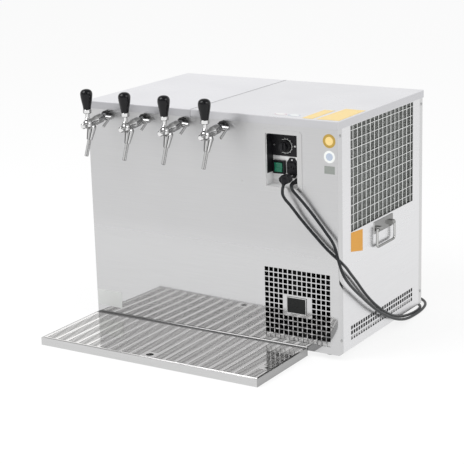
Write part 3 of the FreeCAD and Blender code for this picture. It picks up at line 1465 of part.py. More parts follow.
def bail_shape(axis_x, middle, z):
    """A bail bent from one rod, its ends turned inwards into the knuckles."""
    half = d.bail_width.value / 2
    drop = d.bail_drop.value
    bend = d.bail_bend.value
    small = d.bail_rod.value * bail_corner_share
    tip = half - small - d.fit_gap.value - d.bail_hook.value
    corner_share = 1 - math.sqrt(0.5)
    edges = []

    def at(u, v):
        return Vector(axis_x.value, middle.value + u, z.value + v)

    for side in (-1, 1):
        hook_start = at(tip * side, 0)
        hook_end = at((half - small) * side, 0)
        turn = at((half - small * corner_share) * side, -small * corner_share)
        leg_start = at(half * side, -small)
        leg_end = at(half * side, bend - drop)
        low_turn = at((half - bend * corner_share) * side, -drop + bend * corner_share)
        bar_start = at((half - bend) * side, -drop)
        run = [
            Part.LineSegment(hook_start, hook_end).toShape(),
            Part.Arc(hook_end, turn, leg_start).toShape(),
            Part.LineSegment(leg_start, leg_end).toShape(),
            Part.Arc(leg_end, low_turn, bar_start).toShape(),
        ]
        if side < 0:
            edges.extend(run)
            edges.append(Part.LineSegment(bar_start, at(half - bend, -drop)).toShape())
        else:
            edges.extend(reversed(run))
    path = Part.Wire(Part.__sortEdges__(edges))
    ring = Part.Wire(Part.Circle(at(-tip, 0), Vector(0, 1, 0), d.bail_rod.value).toShape())
    return path.makePipeShell([ring], True, False)


def star(radius, depth, flutes):
    """The outline of a fluted nut round its middle."""
    points = []
    for number in range(flutes * 2):
        angle = math.pi / flutes * number
        reach = radius if number % 2 == 0 else radius - depth
        points.append((reach * math.cos(angle), reach * math.sin(angle)))
    return points


def make_tap_roots():
    """Coupling nuts against the panel, with each shank and its nut behind the panel."""
    pieces = []
    for number in range(count(d.tap_count)):
        x = across(d.tap_first + d.tap_pitch * number)
        nut = body("coupling_nut", x, front, d.tap_z)
        outline = star(d.nut_radius, d.nut_flute, count(d.nut_flutes_count))
        pad(nut, sketch_on(nut, "XZ", "coupling_nut_plan", [outline]), d.nut_length)
        pieces.append(nut)
        pieces.append(rod("shank", (x, front, d.tap_z), "+Y", d.shank_radius, d.shank_reach))
        spot = (x, front + d.sheet, d.tap_z)
        pieces.append(rod("back_nut", spot, "+Y", d.back_nut_radius, d.back_nut_length))
    finish(fuse("coupling_nut_set", pieces), "coupling_nuts")


slope = Rotation(Vector(1, 0, 0), d.tap_slope_angle.value)
spout_turn = Rotation(Vector(1, 0, 0), 180 - d.spout_lean_angle.value)
nut_face = front - d.nut_length
pivot_z = d.tap_z - d.lever_at * math.tan(math.radians(d.tap_slope_angle.value))
compensator_z = d.tap_z - d.compensator_at * math.tan(math.radians(d.tap_slope_angle.value))


def make_tap_body(number):
    """Turned tap body with its ball, spout boss and compensator boss."""
    x = across(d.tap_first + d.tap_pitch * (number - 1))
    turned = body("tap_turned", x, front, d.tap_z, slope)
    swell = d.belly_start * 1.6
    profile = [
        (ZERO, -d.nut_length),
        (d.body_neck, -d.nut_length),
        (d.body_neck, -d.neck_end),
        (d.body_belly, -d.belly_start, swell),
        (d.body_belly, -d.belly_end),
        (d.body_waist, -d.waist_at, swell),
        (d.body_waist, -d.lever_at + d.stem_radius),
        (d.nose_radius, -d.lever_at - d.stem_radius),
        (d.nose_radius, d.nose_cap / 2 - d.nose_end),
        (d.nose_cap, -d.nose_end),
        (ZERO, -d.nose_end),
    ]
    revolve(turned, sketch_on(turned, "XY", "tap_profile", [profile]), "Y")
    globe = ball("tap_ball", (x, inward(-d.lever_at), pivot_z), d.ball_radius)
    root = (x, inward(-d.spout_at), d.tap_z - d.spout_drop)
    boss = cone("spout_boss", root, spout_turn, d.spout_boss_radius, d.spout_boss_tip, d.spout_boss_length)
    shoulder = ball("spout_shoulder", root, d.spout_boss_radius)
    hub_start = (x, inward(-d.compensator_at), compensator_z)
    hub = rod("compensator_boss", hub_start, "+X", d.compensator_boss, d.compensator_face)
    bore_start = (x + d.compensator_face - d.compensator_pin_reach - d.fit_gap, hub_start[1], compensator_z)
    bore = rod("compensator_bore", bore_start, "+X", d.compensator_pin + d.running_gap,
               d.compensator_pin_reach + d.cut_overrun)
    whole = fuse("tap_solid", [turned, globe, shoulder, boss, hub])
    pivot_y = inward(-d.lever_at)
    half = d.tongue_width / 2 + d.fit_gap
    slot = box(
        "tongue_slot",
        (x - half, x + half),
        (pivot_y - d.tongue_slot_front, pivot_y + d.tongue_slot_back),
        (pivot_z, pivot_z + d.ball_radius + d.cut_overrun),
    )
    bottom = rod("tongue_slot_bottom", (x - half, pivot_y, pivot_z), "+X", d.lever_pin * 2, half * 2)
    reach = d.lever_pin_length / 2 + d.fit_gap
    seat = rod("lever_pin_seat", (x - reach, pivot_y, pivot_z), "+X", d.lever_pin + d.running_gap, reach * 2)
    room = fuse("tap_room", [bore, slot, bottom, seat])
    finish(cut("tap_body", whole, room), "tap_body_%d" % number)


def make_spouts():
    """Four drawn spout tubes, pushed into their bosses."""
    tubes = []
    down = spout_turn.multVec(Vector(0, 0, 1))
    for number in range(count(d.tap_count)):
        x = across(d.tap_first + d.tap_pitch * number)
        reach = d.spout_boss_length
        start = (
            x,
            inward(-d.spout_at) + reach * down.y,
            d.tap_z - d.spout_drop + reach * down.z,
        )
        tube = rod("spout_tube", start, spout_turn, d.spout_radius, d.spout_length)
        deep = d.spout_length - d.spout_bore_depth
        tip = (x, start[1] + deep * down.y, start[2] + deep * down.z)
        bore = rod("spout_bore", tip, spout_turn, d.spout_bore, d.spout_bore_depth + d.cut_overrun)
        tubes.append(cut("spout", tube, bore))
    finish(fuse("spout_set", tubes), "tap_spouts")


def make_lever(number):
    """Tap lever on a pin in the ball: socket, stem and collar, under a black grip."""
    x = across(d.tap_first + d.tap_pitch * (number - 1))
    stem = body("lever_turned", x, inward(-d.lever_at), pivot_z)
    inner = d.ball_radius + d.fit_gap
    outer = inner + d.socket_wall
    inner_rim = (inner * inner - d.socket_rim * d.socket_rim).root()
    outer_share = outer / inner
    bevel = d.collar_bevel
    profile = [
        (ZERO, inner),
        (d.socket_rim, inner_rim, -inner),
        (d.socket_rim * outer_share, inner_rim * outer_share),
        (d.stem_radius, outer + bevel),
        (d.stem_radius, d.stem_top - bevel),
        (d.collar_radius - bevel, d.stem_top - bevel),
        (d.collar_radius, d.stem_top),
        (d.collar_radius, d.collar_top - bevel),
        (d.collar_radius - bevel, d.collar_top),
        (ZERO, d.collar_top),
    ]
    revolve(stem, sketch_on(stem, "XZ", "lever_profile", [profile]), "Z")
    pivot_y = inward(-d.lever_at)
    half = d.tongue_width / 2
    deep = d.tongue_depth / 2
    tongue = box("lever_tongue", (x - half, x + half), (pivot_y - deep, pivot_y + deep),
                 (pivot_z, pivot_z + inner + d.fit_gap * 3))
    reach = d.lever_pin_length / 2
    pin = rod("lever_pin_rod", (x - reach, pivot_y, pivot_z), "+X", d.lever_pin, reach * 2)
    eye = rod("lever_eye", (x - half, pivot_y, pivot_z), "+X", d.lever_pin * 1.6, half * 2)
    finish(fuse("lever_set", [stem, tongue, pin, eye]), "tap_lever_%d" % number)
    grip = body("grip_turned", x, inward(-d.lever_at), pivot_z + d.collar_top)
    crown = d.grip_length - d.grip_belly_at
    shoulder = d.grip_belly * 0.76
    cap = crown * 0.28
    outline = [
        (ZERO, ZERO),
        (d.grip_foot, ZERO),
        (d.grip_middle, d.grip_middle_at),
        (d.grip_belly, d.grip_belly_at, d.grip_belly_at * 2.8),
        (shoulder, d.grip_length - cap, crown),
        (ZERO, d.grip_length, (shoulder * shoulder + cap * cap) / (cap * 2)),
    ]
    revolve(grip, sketch_on(grip, "XZ", "grip_profile", [outline]), "Z")
    finish(grip, "grip_%d" % number)


def make_compensator(number):
    """Compensator lever: a hub on a pin and a rod that points forward."""
    x = across(d.tap_first + d.tap_pitch * (number - 1)) + d.compensator_face
    y = inward(-d.compensator_at)
    hub = rod("compensator_hub", (x + d.fit_gap, y, compensator_z), "+X",
              d.compensator_hub, d.compensator_hub_length)
    pin = rod("compensator_pin", (x - d.compensator_pin_reach, y, compensator_z), "+X",
              d.compensator_pin, d.compensator_pin_reach + d.compensator_hub_length / 2)
    turn = Rotation(Vector(1, 0, 0), 90 + d.compensator_rest_angle.value)
    start = (x + d.fit_gap + d.compensator_hub_length / 2, y, compensator_z)
    tip = d.compensator_rod * 1.3
    lever = cone("compensator_rod", start, turn, d.compensator_rod, tip, d.compensator_reach)
    finish(fuse("compensator_set", [hub, pin, lever]), "compensator_lever_%d" % number)


def make_inlets():
    """Push-in beer inlets through the back panel."""
    pieces = []
    for number in range(count(d.inlet_count)):
        x = across(d.inlet_first + d.inlet_pitch * number)
        spot = (x, back, d.inlet_z)
        nut = rod("inlet_nut", spot, "+Y", d.inlet_nut_radius, d.inlet_nut_length)
        collet = rod("inlet_collet", spot, "+Y", d.inlet_collet_radius, d.inlet_projection)
        stem = rod("inlet_stem", (x, back + d.fit_gap, d.inlet_z), "-Y", d.inlet_hole_radius, d.inlet_stem)
        inner_nut = rod("inlet_back_nut", (x, back - d.sheet, d.inlet_z), "-Y",
                        d.inlet_nut_radius, d.inlet_nut_length)
        bore = rod("inlet_bore", (x, back + d.inlet_projection + d.cut_overrun, d.inlet_z), "-Y",
                   d.inlet_bore, d.inlet_projection + d.cut_overrun)
        pieces.append(cut("inlet", fuse("inlet_solid", [nut, collet, stem, inner_nut]), bore))
    finish(fuse("inlet_set", pieces), "inlet_fittings")


def notched_outline(x, y, z, notch_y):
    """The drip grille's outline with the half-round finger notch in its right edge."""
    low = [value.value for value in (x[0], y[0])]
    high = [value.value for value in (x[1], y[1])]
    radius = d.notch_radius.value
    at = notch_y.value
    points = [
        Vector(high[0], at + radius, z.value),
        Vector(high[0], high[1], z.value),
        Vector(low[0], high[1], z.value),
        Vector(low[0], low[1], z.value),
        Vector(high[0], low[1], z.value),
        Vector(high[0], at - radius, z.value),
    ]
    edges = [Part.LineSegment(*pair).toShape() for pair in zip(points, points[1:])]
    deep = Vector(high[0] - radius, at, z.value)
    edges.append(Part.Arc(points[-1], deep, points[0]).toShape())
    return Part.Wire(edges)


def make_tray():
    """Loose drip tray and the slotted grille that stands in it."""
    left = across(ZERO)
    right = left + d.tray_width
    near = inward(-d.tray_depth)
    far = front - d.fit_gap
    hollow("drip_tray_pan", (left, right), (near, far), (ZERO, d.tray_height), d.tray_sheet, d.tray_sheet)
    gap = d.tray_sheet + d.fit_gap
    x = (left + gap, right - gap)
    y = (near + gap, far - gap)
    sheet_low = d.tray_height - d.tray_sheet
    middle = (left + right) / 2
    first_y = y[0] + d.tray_slot_margin - d.tray_slot_width / 2
    bays = d.tray_side_bays_count
    first_x = middle - d.tray_bay_pitch * bays - d.tray_slot_length / 2
    taken = [(count(bays), row) for row in range(count(d.tray_finger_slots_count))]
    slots = grid_wires(
        "XY", sheet_low, (first_x, first_y), (d.tray_slot_length, d.tray_slot_width),
        (d.tray_bay_pitch, d.tray_slot_pitch), (count(bays * 2 + 1), count(d.tray_slots_count)), taken,
    )
    finger = vector(middle, near + d.finger_front, sheet_low)
    slots.append(Part.Wire(Part.Circle(finger, Vector(0, 0, 1), d.finger_radius.value).toShape()))
    outline = notched_outline(x, y, sheet_low, near + d.notch_front)
    top = holed_sheet("drip_grille_sheet", [outline] + slots, vector(ZERO, ZERO, d.tray_sheet))
    rim = body("drip_grille_rim", ZERO, ZERO, d.tray_sheet)
    wall = d.tray_sheet
    inner = rectangle((x[0] + wall, x[1] - wall), (y[0] + wall, y[1] - wall))
    pad(rim, sketch_on(rim, "XY", "drip_grille_rim_plan", [rectangle(x, y), inner]), sheet_low - wall)
    grille = fuse("drip_grille_set", [top, rim], False)
    finish(grille, "drip_grille")


make_base()
make_front_panel()
make_back_panel()
make_side_panel("right_side_panel", 1)
make_side_panel("left_side_panel", -1)
make_lid("lid_left", -1)
make_lid("lid_right", 1)
make_bath()
make_coils()
make_stirrer()
make_compressor()
make_net()
make_condenser()
make_fan()
make_recess()
make_thermostat()
make_switch()
make_outlet()
make_gland()
make_plug()
make_lead()
make_badge()
make_panel_screws()
make_handle("right", 1)
make_handle("left", -1)
make_tap_roots()
for tap_number in range(1, count(d.tap_count) + 1):
    make_tap_body(tap_number)
    make_lever(tap_number)
    make_compensator(tap_number)
make_spouts()
make_inlets()
make_tray()
doc.recompute()

for thing in doc.Objects:
    if "Invalid" in thing.State or "Error" in thing.State:
        raise RuntimeError("%s did not compute: %s" % (thing.Label, thing.State))
for part in parts:
    if part.Shape.isNull() or not part.Shape.isValid() or not part.Shape.Solids:
        raise RuntimeError("%s has no valid solid" % part.Label)

os.makedirs("parts", exist_ok=True)
for part in parts:
    part.Shape.exportStep("parts/%s.step" % part.Label)
print("sub-parts", len(parts))
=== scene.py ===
# %% [markdown]
# # A counter-top beer cooler in stainless steel
# The CAD model gives every piece its place. This notebook loads it as a fixed frame, sets up a
# photographer's table, and then gives each visible piece the shape and finish of the real one.
# Everything is in metres, with X to the right, Y from the taps to the back and Z up.

# %% Load the frame
import math

import bpy
import numpy as np
from mathutils import Euler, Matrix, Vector


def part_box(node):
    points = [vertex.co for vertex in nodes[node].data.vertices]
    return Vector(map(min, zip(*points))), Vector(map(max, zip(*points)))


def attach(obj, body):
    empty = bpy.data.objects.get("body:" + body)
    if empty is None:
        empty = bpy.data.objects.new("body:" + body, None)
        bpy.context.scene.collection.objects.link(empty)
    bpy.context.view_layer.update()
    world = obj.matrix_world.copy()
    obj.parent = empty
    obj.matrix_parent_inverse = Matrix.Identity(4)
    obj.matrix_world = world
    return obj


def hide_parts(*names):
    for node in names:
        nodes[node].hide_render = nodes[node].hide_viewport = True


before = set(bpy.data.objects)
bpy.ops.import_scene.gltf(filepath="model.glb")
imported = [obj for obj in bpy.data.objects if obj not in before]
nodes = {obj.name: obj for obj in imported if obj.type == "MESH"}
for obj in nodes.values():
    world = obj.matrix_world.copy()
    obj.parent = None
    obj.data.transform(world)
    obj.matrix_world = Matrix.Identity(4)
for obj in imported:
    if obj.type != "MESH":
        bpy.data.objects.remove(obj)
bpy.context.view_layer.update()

# half of the cabinet's width, without handles
HALF_WIDTH = 0.370
front_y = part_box("front_panel")[0][1]

# %% [markdown]
# ## The camera
# The photograph looks down on the cooler from the front right, from almost four metres away
# with a long lens, so edges hardly converge. Its place and turn come from fitting a camera to
# the cabinet's corners, and the lens length is for Blender's 36 mm wide sensor.

# %% Camera
PHOTO_WIDTH, FOCAL_PIXELS, SENSOR_WIDTH = 464, 1447.2, 36
CAMERA_PLACE, CAMERA_TURN = (1.94175, -3.10404, 1.24945), (74.8054, 1.5708, 31.7742)
camera_data = bpy.data.cameras.new("camera")
camera_data.lens = FOCAL_PIXELS / PHOTO_WIDTH * SENSOR_WIDTH
camera_data.clip_end = 200
camera = bpy.data.objects.new("camera", camera_data)
camera.location = CAMERA_PLACE
camera.rotation_euler = Euler([math.radians(angle) for angle in CAMERA_TURN])
bpy.context.scene.collection.objects.link(camera)
bpy.context.scene.camera = camera
print("lens", round(camera_data.lens, 2), "mm")

# %% [markdown]
# ## Small shader parts
# Every shader here is built from the same few steps: a sum or product of two values, a value
# carried from one range to another, and one axis of some coordinates. Each is a helper that
# adds its node and gives back the socket, so the recipes further down read as sentences.

# %% Shader helpers


def emptied(tree, output_kind):
    """A node tree with nothing in it but its output, and that output's node."""
    tree.nodes.clear()
    return tree, tree.nodes.new(output_kind)


def math_node(tree, operation, first, second):
    """One Math node whose inputs are sockets or numbers."""
    maths = tree.nodes.new("ShaderNodeMath")
    maths.operation = operation
    for slot_number, value in enumerate((first, second)):
        if isinstance(value, (int, float)):
            maths.inputs[slot_number].default_value = value
        else:
            tree.links.new(value, maths.inputs[slot_number])
    return maths.outputs[0]


def map_range(tree, value, start, full, low, high):
    """A value carried from one pair of numbers to another, clamped at both ends."""
    ramp = tree.nodes.new("ShaderNodeMapRange")
    for label, number in (("From Min", start), ("From Max", full), ("To Min", low), ("To Max", high)):
        ramp.inputs[label].default_value = number
    tree.links.new(value, ramp.inputs["Value"])
    return ramp.outputs["Result"]


def axis_of(tree, coords, axis):
    """One axis of some coordinates."""
    split = tree.nodes.new("ShaderNodeSeparateXYZ")
    tree.links.new(coords, split.inputs[0])
    return split.outputs[axis]


def seen_rays(tree):
    """1 for camera, glossy and transmission rays, and 0 for the rays that light things."""
    path = tree.nodes.new("ShaderNodeLightPath")
    seen = math_node(tree, "MAXIMUM", path.outputs["Is Camera Ray"], path.outputs["Is Glossy Ray"])
    return math_node(tree, "MAXIMUM", seen, path.outputs["Is Transmission Ray"])


def blended(tree, share, first, second, out):
    """The first node's shader, carried over to the second's by a share, as the output."""
    blend = tree.nodes.new("ShaderNodeMixShader")
    for number, socket in enumerate((share, first.outputs[0], second.outputs[0])):
        tree.links.new(socket, blend.inputs[number])
    tree.links.new(blend.outputs[0], out.inputs["Surface"])


# %% [markdown]
# ## The table and the light
# Bright metal shows its surroundings, so the surroundings are the first material. The floor is
# white and keeps a soft shadow. The sky is white to the camera and to reflections, with a few
# grey flags, a duller ceiling and a dark strip of room behind the camera, because without
# something dark to reflect, chrome looks like white plastic.

# %% Floor
WHITE = (1, 1, 1, 1)
FLOOR_REACH, FLOOR_COLOUR, FLOOR_GLOW = 60, (0.95, 0.95, 0.95, 1), 0.80
bpy.context.scene.view_settings.view_transform = "Standard"
floor_corners = [(x * FLOOR_REACH, y * FLOOR_REACH, 0) for x, y in ((-1, -1), (1, -1), (1, 1), (-1, 1))]
floor_mesh = bpy.data.meshes.new("floor")
floor_mesh.from_pydata(floor_corners, [], [(0, 1, 2, 3)])
floor = bpy.data.objects.new("floor", floor_mesh)
bpy.context.scene.collection.objects.link(floor)
floor_material = bpy.data.materials.new("white_table")
floor_material.use_nodes = True
tree, out = emptied(floor_material.node_tree, "ShaderNodeOutputMaterial")
matte = tree.nodes.new("ShaderNodeBsdfDiffuse")
matte.inputs["Color"].default_value = FLOOR_COLOUR
glow = tree.nodes.new("ShaderNodeEmission")
glow.inputs["Color"].default_value = WHITE
blended(tree, math_node(tree, "MULTIPLY", seen_rays(tree), FLOOR_GLOW), matte, glow, out)
floor_mesh.materials.append(floor_material)
print("floor", 2 * FLOOR_REACH, "m across")

# %% Sky with flags
FLAGS = (
    # direction from the cooler, cosine of the angle to it where the flag starts and where it is
    # full, and the tone there
    ((0.62, -0.74, 0.45), 0.955, 0.975, 0.16),
    ((-0.25, -0.80, 0.62), 0.960, 0.980, 0.22),
    ((0.10, -0.30, 0.95), 0.965, 0.985, 0.30),
    ((0.95, -0.25, 0.30), 0.970, 0.985, 0.30),
    ((-0.95, -0.20, 0.42), 0.960, 0.985, 0.30),
    ((0.05, -0.98, 0.14), 0.985, 0.992, 0.25),
)
# each pair is where a fade starts and ends, along Z or, for the room's front, along Y
CEILING, CEILING_TONE = (0.45, 0.62), 0.42
ROOM_FOOT, ROOM_HEAD, ROOM_FRONT, ROOM_TONE = (0.01, 0.05), (0.15, 0.24), (-0.35, -0.10), 0.12
SKY_LIGHT = 0.80
world = bpy.data.worlds.new("studio")
bpy.context.scene.world = world
world.use_nodes = True
tree, out = emptied(world.node_tree, "ShaderNodeOutputWorld")
ways = tree.nodes.new("ShaderNodeTexCoord").outputs["Generated"]
upward, frontward = axis_of(tree, ways, "Z"), axis_of(tree, ways, "Y")
tone = map_range(tree, upward, *CEILING, 1.0, CEILING_TONE)
for direction, start, full, grey in FLAGS:
    near = tree.nodes.new("ShaderNodeVectorMath")
    near.operation = "DOT_PRODUCT"
    near.inputs[1].default_value = Vector(direction).normalized()
    tree.links.new(ways, near.inputs[0])
    tone = math_node(tree, "MULTIPLY", tone, map_range(tree, near.outputs["Value"], start, full, 1.0, grey))
above, below = map_range(tree, upward, *ROOM_FOOT, 0.0, 1.0), map_range(tree, upward, *ROOM_HEAD, 1.0, 0.0)
behind_camera = map_range(tree, frontward, *ROOM_FRONT, 1.0, 0.0)
room = math_node(tree, "MULTIPLY", math_node(tree, "MULTIPLY", above, below), behind_camera)
tone = math_node(tree, "MULTIPLY", tone, map_range(tree, room, 0.0, 1.0, 1.0, ROOM_TONE))
seen = tree.nodes.new("ShaderNodeBackground")
tree.links.new(tone, seen.inputs["Color"])
light = tree.nodes.new("ShaderNodeBackground")
light.inputs["Color"].default_value = WHITE
light.inputs["Strength"].default_value = SKY_LIGHT
blended(tree, seen_rays(tree), light, seen, out)
print("sky with", len(FLAGS), "flags")

# %% Lamps


def soft_lamp(name, place, target, size, watts):
    """A square area lamp that looks at a target point."""
    data = bpy.data.lights.new(name, "AREA")
    data.shape = "SQUARE"
    data.size = size
    data.energy = watts
    lamp = bpy.data.objects.new(name, data)
    lamp.location = place
    lamp.rotation_euler = (Vector(target) - Vector(place)).to_track_quat("-Z", "Y").to_euler()
    bpy.context.scene.collection.objects.link(lamp)


soft_lamp("key_lamp", (-1.6, -2.2, 3.4), (0, 0, 0.2), 2.2, 80)
soft_lamp("side_lamp", (3.2, -0.6, 2.4), (0.2, 0, 0.3), 1.8, 34)
print("lamps:", [light_data.name for light_data in bpy.data.lights])

# %% [markdown]
# ## The mains lead
# The lead comes out of a gland in the control recess, drops over the recess's lip and hangs in
# two slanting runs round the right-hand edge, with a loose loop on the counter behind. A free
# cord is one smooth curve: a NURBS spline passes near its points the way a springy cable does.
# The points are the ones that the CAD tube follows.

# %% Lead
LEAD_ROUTE = (
    # out of the gland, over the lip and down the front
    (0.2395, -0.1035, 0.4360), (0.2395, -0.1215, 0.4360), (0.2444, -0.1340, 0.4313),
    (0.2529, -0.1409, 0.4229), (0.2713, -0.1405, 0.4063), (0.2960, -0.1373, 0.3792),
    (0.3210, -0.1363, 0.3505), (0.3425, -0.1373, 0.3260), (0.3585, -0.1401, 0.3095),
    (0.3688, -0.1431, 0.2945), (0.3756, -0.1445, 0.2720), (0.3816, -0.1421, 0.2475),
    (0.3856, -0.1330, 0.2240), (0.3862, -0.1135, 0.2035), (0.3856, -0.0885, 0.1820),
    (0.3852, -0.0595, 0.1600), (0.3850, -0.0295, 0.1385), (0.3852, 0.0035, 0.1140),
    (0.3856, 0.0385, 0.0895), (0.3858, 0.0785, 0.0650), (0.3870, 0.1215, 0.0425),
    (0.3876, 0.1695, 0.0220), (0.3880, 0.2205, 0.0085), (0.3870, 0.2745, 0.0042),
    (0.3850, 0.3265, 0.0041),
    # the loose loop on the counter behind
    (0.3740, 0.3765, 0.0041), (0.3460, 0.4095, 0.0041), (0.3100, 0.4235, 0.0041),
    (0.2740, 0.4265, 0.0041), (0.2400, 0.4200, 0.0041), (0.2170, 0.4035, 0.0041),
    (0.2150, 0.3795, 0.0041), (0.2330, 0.3645, 0.0041), (0.2600, 0.3620, 0.0041),
    (0.2920, 0.3670, 0.0041), (0.3300, 0.3705, 0.0041), (0.3590, 0.3625, 0.0041),
    # back along the side, up the front and into the plug
    (0.3740, 0.3385, 0.0041), (0.3780, 0.3025, 0.0046), (0.3770, 0.2635, 0.0070),
    (0.3765, 0.2225, 0.0135), (0.3765, 0.1765, 0.0265), (0.3762, 0.1285, 0.0490),
    (0.3766, 0.0845, 0.0755), (0.3770, 0.0425, 0.1045), (0.3770, 0.0045, 0.1350),
    (0.3774, -0.0275, 0.1645), (0.3782, -0.0555, 0.1910),
    (0.3792, -0.0825, 0.2135), (0.3802, -0.1090, 0.2380), (0.3800, -0.1285, 0.2528),
    (0.3720, -0.1363, 0.2645), (0.3560, -0.1369, 0.2760), (0.3380, -0.1363, 0.2898),
    (0.3180, -0.1359, 0.3083), (0.2920, -0.1361, 0.3330), (0.2710, -0.1373, 0.3550),
    (0.2565, -0.1390, 0.3725), (0.2445, -0.1425, 0.3890), (0.2335, -0.1465, 0.4015),
    (0.2250, -0.1470, 0.41792), (0.2250, -0.1380, 0.43351),
)
LEAD_RADIUS = 0.00375
lead_curve = bpy.data.curves.new("lead", "CURVE")
lead_curve.dimensions = "3D"
lead_curve.resolution_u = 10
spline = lead_curve.splines.new("NURBS")
spline.points.add(len(LEAD_ROUTE) - 1)
spline.points.foreach_set("co", [value for point in LEAD_ROUTE for value in (*point, 1.0)])
spline.order_u = 3
spline.use_endpoint_u = True
lead_line = bpy.data.objects.new("lead", lead_curve)
bpy.context.scene.collection.objects.link(lead_line)
line_mesh = bpy.data.meshes.new_from_object(lead_line)
lead_points = np.empty(len(line_mesh.vertices) * 3)
line_mesh.vertices.foreach_get("co", lead_points)
lead_points = lead_points.reshape(-1, 3)
bpy.data.meshes.remove(line_mesh)
lead_curve.bevel_depth = LEAD_RADIUS
lead_curve.bevel_resolution = 4
lead_curve.use_fill_caps = True
lead_length = float(np.linalg.norm(np.diff(lead_points, axis=0), axis=1).sum())
print("lead length", round(lead_length, 3))

# %% [markdown]
# ## Surfaces from arrays
# Turned, pressed and drawn metal is mathematics made solid. A turned piece is a profile of
# radius and height carried round an axis, a wire is a circle carried along a path, and a folded
# sheet is a grid of points. These helpers compute such surfaces as whole arrays and hand them to
# Blender.

# %% Faces and pieces


def grid_faces(rows, columns, around=False):
    """Quads between neighbouring rows and columns; around joins the last column to the first."""
    index = np.arange(rows * columns).reshape(rows, columns)
    after = np.roll(index, -1, axis=1) if around else index[:, 1:]
    here = index if around else index[:, :-1]
    return np.stack([here[:-1], after[:-1], after[1:], here[1:]], axis=-1).reshape(-1, 4)


def ring_faces(rows, columns):
    """Quads of a grid whose last row is joined back to its first, as on a bar's four sides."""
    after = np.arange(1, columns)
    back = (rows - 1) * columns
    closing = np.stack([back + after - 1, back + after, after, after - 1], axis=-1)
    return np.concatenate([grid_faces(rows, columns), closing])


def piece(name, shapes, material, body="cabinet", smooth=True, angle=32.0):
    """One object from (points, faces) pairs, riding on a body, shaded smooth under an angle."""
    points, faces, offset = [], [], 0
    for vertices, polygons in shapes:
        vertices = np.asarray(vertices, float).reshape(-1, 3)
        points.append(vertices)
        for block in polygons if isinstance(polygons, (list, tuple)) else [polygons]:
            faces.extend((np.asarray(block) + offset).tolist())
        offset += len(vertices)
    mesh = bpy.data.meshes.new(name)
    mesh.from_pydata(np.concatenate(points).tolist(), [], faces)
    mesh.materials.append(material)
    obj = bpy.data.objects.new(name, mesh)
    bpy.context.scene.collection.objects.link(obj)
    mesh.polygons.foreach_set("use_smooth", [smooth] * len(mesh.polygons))
    if smooth:
        mesh.set_sharp_from_angle(angle=math.radians(angle))
    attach(obj, body)
    return obj


# %% Turned shapes and boxes


def turned(profile, sides=48, place=(0, 0, 0), axis=(0, 0, 1)):
    """A solid of revolution: each (radius, height) carried round the axis, its ends closed."""
    profile = np.asarray(profile, float)
    angle = np.linspace(0, 2 * np.pi, sides, endpoint=False)
    ring = np.stack([np.cos(angle), np.sin(angle)], axis=-1)
    flat = profile[:, 0, None, None] * ring[None]
    height = np.broadcast_to(profile[:, 1, None, None], flat.shape[:2] + (1,))
    points = np.concatenate([flat, height], axis=-1).reshape(-1, 3)
    turn = np.array(Vector((0, 0, 1)).rotation_difference(Vector(axis)).to_matrix())
    count = len(profile)
    faces = [grid_faces(count, sides, True)]
    low = np.append(np.arange(sides), 0)
    high = low + (count - 1) * sides
    ends = np.array([[0, 0, profile[0, 1]], [0, 0, profile[-1, 1]]])
    points = np.concatenate([points, ends])
    first = count * sides
    faces.append(np.stack([np.full(sides, first), low[1:], low[:-1]], axis=-1))
    faces.append(np.stack([np.full(sides, first + 1), high[:-1], high[1:]], axis=-1))
    return points @ turn.T + np.asarray(place), faces


def boxes(low, high):
    """Many boxes at once from their low and high corners."""
    low = np.atleast_2d(np.asarray(low, float))
    high = np.atleast_2d(np.asarray(high, float))
    pick = np.array([[0, 0, 0], [1, 0, 0], [1, 1, 0], [0, 1, 0],
                     [0, 0, 1], [1, 0, 1], [1, 1, 1], [0, 1, 1]])
    points = np.where(pick[None] == 1, high[:, None], low[:, None])
    sides = np.array([[0, 3, 2, 1], [4, 5, 6, 7], [0, 1, 5, 4],
                      [1, 2, 6, 5], [2, 3, 7, 6], [3, 0, 4, 7]])
    faces = sides[None] + 8 * np.arange(len(low))[:, None, None]
    return points.reshape(-1, 3), faces.reshape(-1, 4)


# %% Wires and tubes


def drawn(path, radius, sides=12):
    """A wire or tube: a circle carried along a path, square to it, its ends closed.
    The circle's own frame is kept from twisting by turning it only as much as the path turns."""
    path = np.asarray(path, float)
    radius = np.broadcast_to(np.asarray(radius, float), (len(path),))
    way = np.gradient(path, axis=0)
    way /= np.linalg.norm(way, axis=1, keepdims=True)
    side = np.empty_like(way)
    start = np.array([0.0, 0.0, 1.0]) if abs(way[0, 2]) < 0.8 else np.array([1.0, 0.0, 0.0])
    for step, toward in enumerate(way):
        start = start - toward * (start @ toward)
        start /= np.linalg.norm(start)
        side[step] = start
    other = np.cross(way, side)
    angle = np.linspace(0, 2 * np.pi, sides, endpoint=False)
    ring = side[:, None] * np.cos(angle)[None, :, None] + other[:, None] * np.sin(angle)[None, :, None]
    points = (path[:, None] + ring * radius[:, None, None]).reshape(-1, 3)
    count = len(path)
    points = np.concatenate([points, path[:1], path[-1:]])
    low = np.append(np.arange(sides), 0)
    high = low + (count - 1) * sides
    caps = [
        np.stack([np.full(sides, count * sides), low[1:], low[:-1]], axis=-1),
        np.stack([np.full(sides, count * sides + 1), high[:-1], high[1:]], axis=-1),
    ]
    return points, [grid_faces(count, sides, True)] + caps


# %% [markdown]
# ## Finishes that several materials share
# Rolled sheet has a faint grain in one direction, handling leaves soft smudges on it, and
# moulded plastic has fine pores. All three are shader node groups, built once and used with
# different values. A group gives out only values and normals; the Principled shader stays in
# each material.

# %% Node groups


